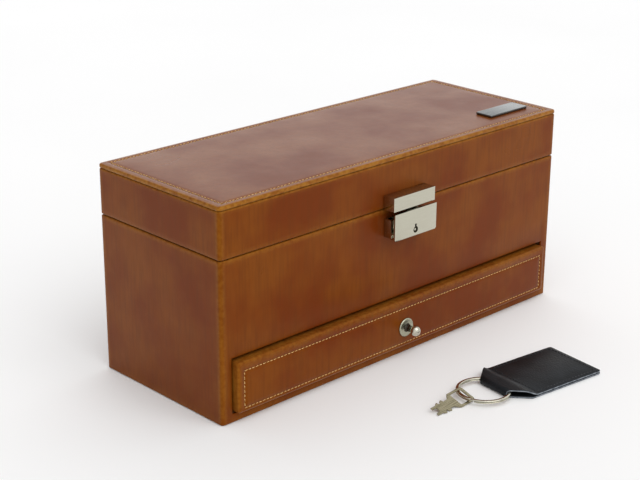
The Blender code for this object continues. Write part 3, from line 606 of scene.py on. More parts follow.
def eased_copy(
    name: str, node: str, ease: float, material: bpy.types.Material, body: Body, slot: Slot,
    segments: int = 2,
) -> bpy.types.Object:
    """A copy of a frame piece with its sharp edges rounded, dressed in place of that piece.

    Args:
        name: name of the new piece.
        node: frame piece whose shape it takes.
        ease: radius of the rounding, in millimetres.
        material: its finish.
        body: body that it rides on.
        slot: not used.
        segments: steps in the rounding.

    Returns:
        The object.
    """
    bm = bmesh.new()
    bm.from_mesh(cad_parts[node].data)
    bmesh.ops.remove_doubles(bm, verts=bm.verts, dist=2e-6)
    bmesh.ops.dissolve_limit(bm, angle_limit=math.radians(2), verts=bm.verts, edges=bm.edges)
    sharp = [e for e in bm.edges if e.is_manifold and e.calc_face_angle(0.0) > math.radians(40)]
    bmesh.ops.bevel(
        bm, geom=sharp, offset=ease * MM, segments=segments, affect="EDGES", profile=0.5,
        clamp_overlap=True)
    for face in bm.faces:
        face.material_index = 0
    return dress(finish_mesh(name, bm, [material], 30.0), body, [node])


def bake(piece: bpy.types.Object) -> None:
    """Replace the mesh of a piece by what its modifiers make of it."""
    bpy.context.view_layer.update()
    graph = bpy.context.evaluated_depsgraph_get()
    mesh = bpy.data.meshes.new_from_object(piece.evaluated_get(graph))
    piece.modifiers.clear()
    old = piece.data
    piece.data = mesh
    bpy.data.meshes.remove(old)


def carve(piece: bpy.types.Object, tool: bmesh.types.BMesh) -> None:
    """Cut a closed mesh out of a piece, and bake the result."""
    cutter = finish_mesh("cutter", tool, [])
    step = piece.modifiers.new("carve", "BOOLEAN")
    step.operation = "DIFFERENCE"
    step.solver = "EXACT"
    step.object = cutter
    bake(piece)
    bpy.data.objects.remove(cutter, do_unlink=True)
    piece.data.set_sharp_from_angle(angle=math.radians(35))


def paint_wear_and_highlight(piece: bpy.types.Object, amount: Callable[[Vector], float]) -> None:
    """Store, from 0 to 1, how worn each point of a leather piece is together with the painted highlight on
    its rounded edges, as a point attribute.
    """
    layer = piece.data.attributes.new("wear_and_highlight", "FLOAT", "POINT")
    layer.data.foreach_set("value", [min(max(amount(v.co), 0.0), 1.0) for v in piece.data.vertices])


def fade(distance: float, reach: float) -> float:
    """1 at no distance, falling smoothly to 0 past reach."""
    return math.exp(-((distance / reach) ** 2))


def dress(
    piece: bpy.types.Object, body: Body, replaces: Iterable[str] = ()
) -> bpy.types.Object:
    """Hang a finished piece on its body, and hide the frame pieces that it stands for."""
    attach(piece, body.value)
    names = tuple(replaces)
    if names:
        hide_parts(*names)
    LOG.info("%s on %s: %d faces", piece.name, body.value, len(piece.data.polygons))
    return piece


def keep(nodes: Iterable[str], material: bpy.types.Material) -> None:
    """Give frame pieces that stay their finished material."""
    for name in nodes:
        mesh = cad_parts[name].data
        mesh.materials.clear()
        mesh.materials.append(material)
    LOG.info("%s kept, in %s", ", ".join(nodes), material.name)


@dataclass(frozen=True)
class Seam:
    """A row of hand stitches, each a short strand that dips into the leather at both ends."""

    pitch: float = 2.7
    share: float = 0.76  # of the pitch that shows as thread
    radius: float = 0.27
    lift: float = 0.16
    slant: float = 5.0
    rings: int = 6
    sides: int = 6

    def sew(
        self, name: str, path: Sequence[Vector], normal: Vector, material: bpy.types.Material,
        closed: bool = True,
    ) -> bpy.types.Object:
        """Sew along a path.

        Args:
            name: name of the piece.
            path: points of the seam.
            normal: the way that the leather faces.
            material: thread.
            closed: whether the seam runs back to its start.

        Returns:
            The stitches as one object.
        """
        points = [Vector(p) for p in path]
        if closed:
            points.append(points[0].copy())
        lengths = [(b - a).length for a, b in zip(points, points[1:])]
        total = sum(lengths)
        count = max(1, round(total / (self.pitch * MM)))
        step = total / count
        bm = bmesh.new()
        leg, walked = 0, 0.0
        for k in range(count):
            middle = (k + 0.5) * step
            while leg < len(lengths) - 1 and walked + lengths[leg] < middle:
                walked += lengths[leg]
                leg += 1
            along = (points[leg + 1] - points[leg]).normalized()
            centre = points[leg] + along * (middle - walked)
            self._strand(bm, centre, along, normal, step)
        return finish_mesh(name, bm, [material], 80.0)

    def _strand(
        self, bm: bmesh.types.BMesh, centre: Vector, along: Vector, normal: Vector, step: float
    ) -> None:
        """Add one stitch to a mesh."""
        turn = Matrix.Rotation(math.radians(self.slant), 3, normal)
        run = turn @ along
        across = normal.cross(run).normalized()
        half = step * self.share / 2
        rings = []
        for i in range(self.rings + 1):
            s = -1 + 2 * i / self.rings
            thick = self.radius * MM * math.sqrt(max(1 - s ** 4, 0.04))
            core = centre + run * (half * s) + normal * (self.lift * MM * (1 - s * s) - 0.08 * MM)
            rings.append([
                core + thick * (
                    across * math.cos(math.tau * k / self.sides)
                    + normal * math.sin(math.tau * k / self.sides))
                for k in range(self.sides)])
        skin(bm, rings)


# ---------------------------------------------------------------- shared case outline
@dataclass(frozen=True)
class CaseOutline:
    """The outline that the body, the lid band and the top panel share, seen from above."""

    width: float = 288.0
    depth: float = 108.0
    corner: float = 2.2

    @property
    def half(self) -> Point:
        """Half width and half depth, in metres."""
        return (self.width / 2 * MM, self.depth / 2 * MM)

    def ring(
        self, inset: float | Point, height: float, marks: Sequence[float], side_marks: Sequence[float]
    ) -> list[Vector]:
        """One ring of the outline.

        Args:
            inset: how far it is drawn in, in millimetres, or the two values for x and y.
            height: its height in millimetres.
            marks: extra points along the front and the back, in millimetres.
            side_marks: extra points along the ends.

        Returns:
            The ring's points in metres.
        """
        across, deep = inset if isinstance(inset, tuple) else (inset, inset)
        high = (self.half[0] - across * MM, self.half[1] - deep * MM)
        bend = max(self.corner - max(across, deep), 0.2) * MM
        runs = []
        for row, limit in ((marks, high[0] - bend), (side_marks, high[1] - bend)):
            runs.append([min(max(m * MM, -limit), limit) for m in row])
        points = rounded((-high[0], -high[1]), high, bend, runs[0], runs[1])
        return at_height(points, height * MM)

    def along_corner(self, spot: Vector) -> float:
        """Distance round the wall from the nearest rounded corner, in millimetres."""
        beside = max(self.half[0] / MM - self.corner - abs(spot.x) / MM, 0.0)
        behind = max(self.half[1] / MM - self.corner - abs(spot.y) / MM, 0.0)
        return beside + behind


OUTLINE = CaseOutline()


# ---------------------------------------------------------------- body
@dataclass
class CaseBody:
    """The leather covered body with the mouth of its drawer."""

    finishes: Finishes
    leather: float = 1.3
    rim: float = 98.6
    foot: float = 0.6
    rim_round: float = 1.0
    turned_in: float = 7.2
    turned_edge: float = 0.9
    mouth_half: float = 136.5
    mouth_low: float = 5.5
    mouth_high: float = 39.6
    mouth_ease: float = 0.5
    behind_wall: float = -50.0
    slack: float = 0.01
    base_ease: float = 0.4

    def build(self) -> None:
        """Build and dress every piece of the body."""
        self._cover()
        eased_copy(
            "base_cloth", "base_cover", self.base_ease, self.finishes.suede, Body.CASE, Slot.SUEDE)
        keep(
            ["base_board", "left_board", "right_board", "back_board", "front_board", "drawer_shelf",
             "drawer_stop", "drawer_guide_left", "drawer_guide_right"], self.finishes.board)

    def _cover(self) -> None:
        """The wall leather, turned in over the rim and cut out round the drawer."""
        marks = (-141.2, -139.5, -136.5, -134, -60, 0, 60, 134, 136.5, 139.5, 141.2)
        side_marks = (-51.2, -49.5, -47.5, -44, 0, 44, 47.5, 49.5, 51.2)
        levels = [self.foot, 2.0, self.mouth_low, self.mouth_high, 60, 82, 92, 95.4]
        profile = [(0.0, z) for z in levels]
        profile += quarter_round(
            (0.0, self.rim - self.rim_round), (self.rim_round, self.rim), 4)
        profile += [
            (self.turned_in - 0.4, self.rim), (self.turned_in, self.rim - 0.4),
            (self.turned_in, self.rim - self.turned_edge), (self.leather, self.rim - self.turned_edge)]
        profile += [(self.leather, z) for z in reversed(levels)]
        rings = [OUTLINE.ring(inset, z, marks, side_marks) for inset, z in profile]
        bm = loft(rings, ring_closed=True)
        self._cut_mouth(bm)
        cover = finish_mesh("body_leather", bm, [self.finishes.tan])
        paint_wear_and_highlight(cover, self._wear_and_highlight)
        dress(cover, Body.CASE, ["body_cover"])

    def _cut_mouth(self, bm: bmesh.types.BMesh) -> None:
        """Open the drawer's mouth, close its edge and ease it."""
        inside = [
            f for f in bm.faces
            if all(v.co.y < self.behind_wall * MM and self._at_mouth(v.co) for v in f.verts)]
        bmesh.ops.delete(bm, geom=inside, context="FACES")
        rim = [e for e in bm.edges if e.is_boundary]
        bmesh.ops.bridge_loops(bm, edges=rim)
        front = -OUTLINE.half[1]
        edge = [
            e for e in bm.edges
            if all(abs(v.co.y - front) < self.slack * MM and self._at_mouth(v.co) for v in e.verts)
            and e.is_manifold and e.calc_face_angle(0.0) > 1.0]
        bmesh.ops.bevel(
            bm, geom=edge, offset=self.mouth_ease * MM, segments=3, affect="EDGES", profile=0.5)

    def _at_mouth(self, spot: Vector) -> bool:
        """Whether a point lies in the mouth or on its edge, seen from the front."""
        slack = self.slack * MM
        return (
            abs(spot.x) <= self.mouth_half * MM + slack
            and self.mouth_low * MM - slack <= spot.z <= self.mouth_high * MM + slack)

    def _wear_and_highlight(self, spot: Vector) -> float:
        """Painted highlight and real rubbing of the body: along its rim, its corners and its foot."""
        height = spot.z / MM
        rim = 0.40 * fade(self.rim - height, 1.8)
        corner = 0.26 * fade(OUTLINE.along_corner(spot), 1.2)
        foot = 0.25 * fade(height - self.foot, 1.6)
        return max(rim, corner, foot)


# ---------------------------------------------------------------- inside of the body
@dataclass
class Interior:
    """Suede tub, its two dividers and the six ring rolls between them."""

    finishes: Finishes
    rolls: int = 6
    roll_half: float = 45.2
    roll_span: float = 91.2
    roll_top: float = 89.5
    roll_tall: float = 20.0
    voxel: float = 2.2
    rows: int = 26
    sides: int = 20
    pressure: float = 150.0
    tension: float = 5.0
    settle: int = 14  # frames of the cloth simulation
    swell_cap: float = 0.7
    lining_ease: float = 0.45
    divider_ease: float = 1.2

    def build(self) -> None:
        """Build and dress the lining, the dividers and the ring rolls."""
        cover = (self.finishes.suede, Body.CASE, Slot.SUEDE)
        eased_copy("tub_suede", "tub_lining", self.lining_ease, *cover)
        for side in ("left", "right"):
            divider = eased_copy(
                f"divider_{side}_suede", f"tub_divider_{side}", self.divider_ease, *cover, 4)
        self._rolls()

    def _roll_mesh(self, grow: float) -> bmesh.types.BMesh:
        """One roll round the origin along X, full on top and flat below."""
        half = self.roll_half * MM
        wide = (self.roll_span / self.rolls / 2 - 0.35 - grow) * MM
        tall = self.roll_tall * MM
        rings = []
        for i in range(self.rows + 1):
            s = -1 + 2 * i / self.rows
            end = max(1 - abs(s) ** 9, 0.03) ** 0.5
            ring = []
            for k in range(self.sides):
                angle = math.tau * k / self.sides
                y = math.copysign(abs(math.cos(angle)) ** 0.8, math.cos(angle)) * wide
                z = math.copysign(abs(math.sin(angle)) ** 0.7, math.sin(angle)) * (tall / 2 - grow * MM)
                ring.append(Vector((s * (half - grow * MM), y * (0.55 + 0.45 * end), z * end)))
            rings.append(ring)
        return loft(rings)

    def _swell(self, piece: bpy.types.Object) -> None:
        """Let the roll puff up as cloth under pressure, and bake the result into its mesh."""
        remesh = piece.modifiers.new("weave", "REMESH")
        remesh.mode = "VOXEL"
        remesh.voxel_size = self.voxel * MM
        bake(piece)
        before = np.empty(len(piece.data.vertices) * 3)
        piece.data.vertices.foreach_get("co", before)
        cloth = piece.modifiers.new("puff", "CLOTH")
        cloth.settings.use_pressure = True
        cloth.settings.uniform_pressure_force = self.pressure
        cloth.settings.effector_weights.gravity = 0.0
        cloth.settings.quality = 5
        cloth.settings.tension_stiffness = self.tension
        scene = bpy.context.scene
        for step in range(1, self.settle + 1):
            scene.frame_set(step)
        bake(piece)
        scene.frame_set(1)
        after = np.empty_like(before)
        piece.data.vertices.foreach_get("co", after)
        move = (after - before).reshape(-1, 3)
        size = np.linalg.norm(move, axis=1, keepdims=True)
        cap = self.swell_cap * MM
        move *= np.minimum(1.0, cap / np.maximum(size, 1e-9))
        piece.data.vertices.foreach_set("co", before + move.ravel())
        smooth = piece.modifiers.new("finer", "SUBSURF")
        smooth.levels = 1
        smooth.render_levels = 1
        bake(piece)

    def _rolls(self) -> None:
        """Lay six rolls side by side on a covered block."""
        pattern = finish_mesh("ring_roll_1", self._roll_mesh(0.45), [self.finishes.suede], 180.0)
        self._swell(pattern)
        pattern.data.shade_smooth()
        low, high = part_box("ring_pad")
        top = (self.roll_top - self.roll_tall * 0.62) * MM
        ring = rounded((low.x, low.y), (high.x, high.y), 1.0 * MM)
        drawn_in = [(x * 0.992, y * 0.992) for x, y in ring]
        block = finish_mesh("ring_pad_block", loft([
            at_height(ring, low.z), at_height(ring, top - 0.8 * MM), at_height(drawn_in, top)]),
            [self.finishes.suede])
        dress(block, Body.CASE, ["ring_pad"])
        for number in range(1, self.rolls):
            roll = bpy.data.objects.new(f"ring_roll_{number + 1}", pattern.data.copy())
            bpy.context.scene.collection.objects.link(roll)
            self._lay(roll, number)
        self._lay(pattern, 0)

    def _lay(self, roll: bpy.types.Object, number: int) -> None:
        """Put a roll in its place; every other one is turned end for end."""
        pitch = self.roll_span / self.rolls
        spot = Vector((
            0, (-self.roll_span / 2 + pitch * (number + 0.5)) * MM,
            (self.roll_top - self.roll_tall / 2) * MM))
        roll.data.transform(Matrix.Translation(spot) @ Matrix.Rotation(math.pi * (number % 2), 4, "Z"))
        dress(roll, Body.CASE)


# ---------------------------------------------------------------- lid
@dataclass
class Lid:
    """The lid band, its stitched and lightly padded top, its lining and the bare plate."""

    finishes: Finishes
    leather: float = 1.3
    low: float = 99.1
    band_top: float = 127.2
    panel_low: float = 127.5
    panel_top: float = 130.0
    turned_in: float = 7.2
    turned_edge: float = 0.9
    seam_inset: Point = (5.6, 4.2)
    seam_depth: float = 0.32
    crown: float = 0.2
    lining_ease: float = 0.45
    plate_corner: float = 0.7
    plate_ease: float = 0.3
    pad_inset: float = 4.5
    pad_seam: float = 4.2

    def build(self) -> None:
        """Build and dress every piece of the lid."""
        self._band()
        self._panel()
        self._plate()
        eased_copy(
            "lid_suede", "lid_lining", self.lining_ease, self.finishes.suede, Body.LID, Slot.SUEDE)
        self._ceiling_pad()
        keep(
            ["lid_left_board", "lid_right_board", "lid_back_board", "lid_front_board",
             "lid_top_board"], self.finishes.board)

    def _band(self) -> None:
        """The leather round the lid, turned in over its rim."""
        marks = (-141.2, -139.5, -136.5, -60, 0, 60, 136.5, 139.5, 141.2)
        side_marks = (-51.2, -49.5, -47.5, 0, 47.5, 49.5, 51.2)
        levels = [102.4, 106, 114, 121, 124, 125.6]
        profile = list(reversed(quarter_round((0.0, self.low + 0.9), (0.9, self.low), 4)))
        profile += [(0.0, z) for z in levels]
        profile += quarter_round((0.0, self.band_top - 1.0), (1.0, self.band_top), 4)
        profile += [
            (self.leather, self.band_top), (self.leather, self.low + self.turned_edge),
            (self.turned_in, self.low + self.turned_edge), (self.turned_in, self.low + 0.3),
            (self.turned_in - 0.3, self.low)]
        rings = [OUTLINE.ring(inset, z, marks, side_marks) for inset, z in profile]
        band = finish_mesh("lid_leather", loft(rings, ring_closed=True), [self.finishes.tan])
        paint_wear_and_highlight(band, self._band_wear_and_highlight)
        dress(band, Body.LID, ["lid_cover"])

    def _band_wear_and_highlight(self, spot: Vector) -> float:
        """Painted highlight and real rubbing of the lid band: its upper edge and its corners most."""
        height = spot.z / MM
        top = 0.60 * fade(self.band_top - height, 1.1)
        foot = 0.22 * fade(height - self.low, 1.4)
        corner = 0.26 * fade(OUTLINE.along_corner(spot), 1.2)
        return max(top, foot, corner)

    def _panel(self) -> None:
        """The top panel: leather over thin foam, sewn down near its edge."""
        marks, side_marks = (-110, -60, 0, 60, 110), (-20, 0, 20)
        rows: list[tuple[Point, float]] = [((1.2, 1.2), self.panel_low)]
        rows += [((i, i), z) for i, z in reversed(quarter_round(
            (0.0, self.panel_low + 0.5), (0.5, self.panel_low), 3))]
        rows += [((i, i), z) for i, z in quarter_round(
            (0.0, self.panel_top - 1.1), (1.1, self.panel_top - 0.02), 5)]
        across, deep = self.seam_inset
        rows.append(((2.4, 2.0), self.panel_top + 0.05))
        for shift, drop in ((-0.9, 0.02), (-0.4, 0.22), (0.0, self.seam_depth), (0.4, 0.22), (0.9, 0.02)):
            rows.append(((across + shift, deep + shift), self.panel_top - drop))
        for shift, rise in ((3.0, 0.35), (7.0, 0.7), (14.0, 0.95), (22.0, 1.0)):
            rows.append(((across + shift, deep + shift), self.panel_top + self.crown * rise))
        rings = [OUTLINE.ring(inset, z, marks, side_marks) for inset, z in rows]
        panel = finish_mesh("lid_top_leather", loft(rings), [self.finishes.tan])
        paint_wear_and_highlight(panel, self._panel_wear_and_highlight)
        dress(panel, Body.LID, ["lid_top_panel"])
        reach = (OUTLINE.half[0] - across * MM, OUTLINE.half[1] - deep * MM)
        path = rounded((-reach[0], -reach[1]), reach, 1.6 * MM, steps=4)
        height = (self.panel_top - self.seam_depth + 0.2) * MM
        seam = Seam().sew(
            "lid_top_stitching", at_height(path, height), Vector((0, 0, 1)), self.finishes.thread)
        dress(seam, Body.LID)

    def _panel_wear_and_highlight(self, spot: Vector) -> float:
        """Top panel: gold painted on its rounded edge as the highlight the sloping edge catches, partly
        also worn there, and a little worn at the seam.
        """
        inward = min(OUTLINE.half[0] - abs(spot.x), OUTLINE.half[1] - abs(spot.y)) / MM
        return max(0.75 * fade(inward, 1.7), 0.18 * fade(inward - 4.6, 2.2))

    def _plate(self) -> None:
        """The small plate on the lid, left bare."""
        low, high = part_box("nameplate")
        middle = (low + high) / 2
        half = (high - low) / 2
        outline = rounded((-half.x, -half.y), (half.x, half.y), self.plate_corner * MM, steps=3)
        plate = stamped_plate(
            "lid_plate", outline, [], high.z - low.z, self.plate_ease * MM,
            Matrix.Translation(middle), self.finishes.plate)
        dress(plate, Body.LID, ["nameplate"])

    def _ceiling_pad(self) -> None:
        """A sewn pad under the lid that keeps the rings in their rolls."""
        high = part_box("lid_lining")[1]
        top = high.z - 1.35 * MM
        reach = (high.x - self.pad_inset * MM, high.y - self.pad_inset * MM)
        rows = [(0.8, 0.0), (0.0, -0.5), (0.0, -1.1), (0.5, -1.9), (2.0, -2.3), (3.4, -2.2),
                (4.2, -1.8), (5.0, -2.2), (9.0, -3.0), (20.0, -3.6), (32.0, -3.8)]
        rings = []
        for inset, drop in rows:
            high_point = (reach[0] - inset * MM, reach[1] - inset * MM)
            ring = rounded((-high_point[0], -high_point[1]), high_point, (6 - inset * 0.15) * MM)
            rings.append(at_height(ring, top + drop * MM))
        pad = finish_mesh("lid_ceiling_pad", loft(rings), [self.finishes.suede])
        dress(pad, Body.LID)
        sewn = (reach[0] - self.pad_seam * MM, reach[1] - self.pad_seam * MM)
        path = rounded((-sewn[0], -sewn[1]), sewn, 5.4 * MM)
        seam = Seam(pitch=3.2).sew(
            "lid_pad_stitching", at_height(path, top - 1.95 * MM), Vector((0, 0, -1)),
            self.finishes.thread)
        dress(seam, Body.LID)


# ---------------------------------------------------------------- hinges
@dataclass
class Hinges:
    """Two butt hinges on the back, with their pins and countersunk screws."""

    finishes: Finishes
    leaf_ease: float = 0.22
    slot_turn: float = 24.0

    def build(self) -> None:
        """Build and dress the leaves, the pins and the screws."""
        for side in ("left", "right"):
            for part, body in (("body", Body.CASE), ("lid", Body.LID)):
                node = f"hinge_{side}_{part}_leaf"
                eased_copy(
                    f"{node}_plate", node, self.leaf_ease, self.finishes.nickel, body, Slot.NICKEL)
                for number in (1, 2):
                    self._screw(f"hinge_{side}_{part}_screw_{number}", body)
            keep([f"hinge_{side}_pin"], self.finishes.steel)

    def _screw(self, node: str, body: Body) -> None:
        """A raised head screw with a driven slot, over the frame's own screw."""
        low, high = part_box(node)
        centre = (low + high) / 2
        head = (high.x - low.x) / 2
        base = high.y - 0.9 * MM
        out = Matrix.Translation((centre.x, base, centre.z)) @ Matrix.Rotation(-math.pi / 2, 4, "X")
        deep = base - low.y
        profile = [
            (0, -deep), (0.5 * MM, -deep + 0.2 * MM), (1.0 * MM, -deep + 0.8 * MM), (1.0 * MM, 0.05 * MM),
            (head * 0.97, 0.0), (head, 0.12 * MM), (head * 0.93, 0.42 * MM), (head * 0.72, 0.68 * MM),
            (head * 0.4, 0.84 * MM), (0, 0.88 * MM)]
        screw = finish_mesh(f"{node}_head", turned(profile, out, 40), [self.finishes.nickel])
        tool_bm = bmesh.new()
        bmesh.ops.create_cube(tool_bm, size=1, matrix=Matrix.Translation(
            (centre.x, base + 0.95 * MM, centre.z)) @ Matrix.Rotation(math.radians(self.slot_turn), 4, "Y")
            @ Matrix.Diagonal((head * 2.4, 0.8 * MM, 0.5 * MM, 1)))
        carve(screw, tool_bm)
        dress(screw, body, [node])


# ---------------------------------------------------------------- press lock
@dataclass
class PressLock:
    """The lid's hasp, the swinging key plate, the base behind it and its small parts."""

    finishes: Finishes
    ease: float = 0.18
    base_ease: float = 0.40
    pin_ease: float = 0.1

    def build(self) -> None:
        """Build and dress the lock."""
        for node, name, body, ease in (
            ("hasp", "hasp_plate", Body.LID, self.ease),
            ("lock_base", "lock_base_box", Body.CASE, self.base_ease),
            ("lock_flap", "lock_key_plate", Body.FLAP, self.ease),
        ):
            eased_copy(name, node, ease, self.finishes.nickel, body, Slot.NICKEL, 3)
        for side in ("left", "right"):
            eased_copy(
                f"lock_{side}_pivot", f"lock_pin_{side}", self.pin_ease, self.finishes.steel,
                Body.FLAP, Slot.STEEL)
        keep(["lock_rivet_left", "lock_rivet_right"], self.finishes.nickel)
        keep(["lock_spring"], self.finishes.steel)
        # painted shade: the cam is drawn dark as the shadow inside the keyhole
        keep(["lock_cam"], self.finishes.shaded_steel)


# ---------------------------------------------------------------- drawer
@dataclass
class Drawer:
    """The drawer: a stitched leather front with a turned pull, and its lined box."""

    finishes: Finishes
    low: Point = (-135.5, 6.4)
    high: Point = (135.5, 37.6)
    front: float = -58.2
    back: float = -50.0
    leather: float = 1.3
    edge_round: float = 1.5
    corner: float = 1.6
    seam_low: Point = (-131.0, 9.1)
    seam_high: Point = (131.0, 32.0)
    seam_depth: float = 0.3
    knob_height: float = 19.4
    rose_radius: float = 6.0
    ball_radius: float = 3.3
    reach: float = 8.3
    neck_radius: float = 2.0
    shaded_waist: float = 4.9
    lining_ease: float = 0.3

    def build(self) -> None:
        """Build and dress every piece of the drawer."""
        self._front()
        self._pull()
        eased_copy(
            "drawer_suede", "drawer_lining", self.lining_ease, self.finishes.suede, Body.DRAWER,
            Slot.SUEDE)
        keep(
            ["drawer_front_board", "drawer_side_left", "drawer_side_right", "drawer_back",
             "drawer_bottom"], self.finishes.board)

    def _ring(
        self, low: Point, high: Point, inset: float, radius: float, depth: float
    ) -> list[Vector]:
        """One upright ring of the front, in metres, from millimetres."""
        points = rounded(
            ((low[0] + inset) * MM, (low[1] + inset) * MM),
            ((high[0] - inset) * MM, (high[1] - inset) * MM), radius * MM,
            [m * MM for m in (-118, -60, 0, 60, 118)], [22 * MM], steps=5)
        return [Vector((x, depth * MM, z)) for x, z in points]

    def _front(self) -> None:
        """The leather of the front: a pocket over its board, sewn round its face."""
        rows: list[tuple[float, float]] = [
            (self.leather, self.front + self.leather), (self.leather, self.back), (0.4, self.back),
            (0.0, self.back - 0.4)]
        rows += [(inset, depth) for inset, depth in quarter_round(
            (0.0, self.front + self.edge_round), (self.edge_round, self.front), 5)]
        rings = [
            self._ring(self.low, self.high, inset, self.corner - 0.6 * inset, depth)
            for inset, depth in rows]
        for inset, sink in ((-0.7, 0.0), (-0.35, 0.2), (0.0, self.seam_depth), (0.35, 0.2), (0.7, 0.0),
                            (2.5, -0.12), (6.0, -0.2), (9.0, -0.22)):
            rings.append(self._ring(self.seam_low, self.seam_high, inset, 1.0, self.front + sink))
        cover = finish_mesh("drawer_front_leather", loft(rings), [self.finishes.tan])
        stud = bmesh.new()
        turn = Matrix.Translation((0, (self.front + 1) * MM, self.knob_height * MM))
        bmesh.ops.create_cone(
            stud, cap_ends=True, segments=24, radius1=1.5 * MM, radius2=1.5 * MM, depth=6 * MM,
            matrix=turn @ Matrix.Rotation(math.pi / 2, 4, "X"))
        carve(cover, stud)
        paint_wear_and_highlight(cover, self._wear_and_highlight)
        dress(cover, Body.DRAWER, ["drawer_front_cover"])
        path = rounded(
            (self.seam_low[0] * MM, self.seam_low[1] * MM),
            (self.seam_high[0] * MM, self.seam_high[1] * MM), 0.8 * MM, steps=2)
        depth = (self.front + self.seam_depth - 0.2) * MM
        seam = Seam().sew(
            "drawer_stitching", [Vector((x, depth, z)) for x, z in path], Vector((0, -1, 0)),
            self.finishes.thread)
        dress(seam, Body.DRAWER)

    def _wear_and_highlight(self, spot: Vector) -> float:
        """Painted highlight and real rubbing of the drawer front: its upper edge, its ends and the strip
        outside the seam.
        """
        top = (self.high[1] - spot.z / MM)
        foot = (spot.z / MM - self.low[1])
        end = self.high[0] - abs(spot.x) / MM
        return max(0.40 * fade(end, 1.6), 0.34 * fade(top, 2.6), 0.25 * fade(foot, 1.4))

    def _pull(self) -> None:
        """The turned knob and the rose behind it."""
        out = Matrix.Translation((0, self.front * MM, self.knob_height * MM))
        out = out @ Matrix.Rotation(math.pi / 2, 4, "X")
        radius = self.rose_radius
        rose_rows = [(1.55, 0.3), (radius - 0.2, 0.3), (radius, 0.5), (radius, 0.8), (5.7, 1.1)]
        for k in range(13):
            share = k / 12
            reach = 5.5 - 3.3 * share
            rose_rows.append((reach, 1.22 + 0.36 * share + (0.03 if k % 2 else -0.02)))
        rose_rows += [(1.7, 1.6), (1.55, 1.5)]
        rose_bm = loft([
            [Vector((r * MM * math.cos(a), r * MM * math.sin(a), h * MM))
             for a in (math.tau * k / 72 for k in range(72))] for r, h in rose_rows], ring_closed=True)
        rose = finish_mesh("knob_rose_turned", rose_bm, [self.finishes.turned_nickel], 60.0)
        rose.matrix_world = out
        dress(rose, Body.DRAWER, ["knob_rose"])
        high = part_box("knob")[1]
        stud = self.front * MM - high.y
        base = 1.5 * MM
        neck = self.neck_radius * MM
        profile = [
            (0, stud), (1.1 * MM, stud), (1.2 * MM, stud + 0.2 * MM), (1.2 * MM, base),
            (2.7 * MM, base), (2.8 * MM, base + 0.2 * MM), (2.6 * MM, base + 0.6 * MM),
            (2.2 * MM, base + 1.4 * MM), (neck, base + 2.4 * MM), (neck, base + 3.9 * MM)]
        ball = self.ball_radius * MM
        first = math.asin(neck / ball)
        for k in range(1, 22):
            angle = math.pi - first - (math.pi - first) * k / 22
            profile.append((ball * math.sin(angle), self.reach * MM + ball * math.cos(angle)))
        profile.append((0, self.reach * MM + ball))
        body = turned(profile, Matrix.Identity(4))
        for face in body.faces:
            # painted shade: the waist is drawn in dark steel for the dark surroundings and shade that its
            # polished curve mirrors
            waist = base * 0.9 < face.calc_center_median().z < base + self.shaded_waist * MM
            face.material_index = 1 if waist else 0
        knob = finish_mesh(
            "knob_turned", body, [self.finishes.steel, self.finishes.shaded_steel], 50.0)
        knob.matrix_world = out
        dress(knob, Body.DRAWER, ["knob"])


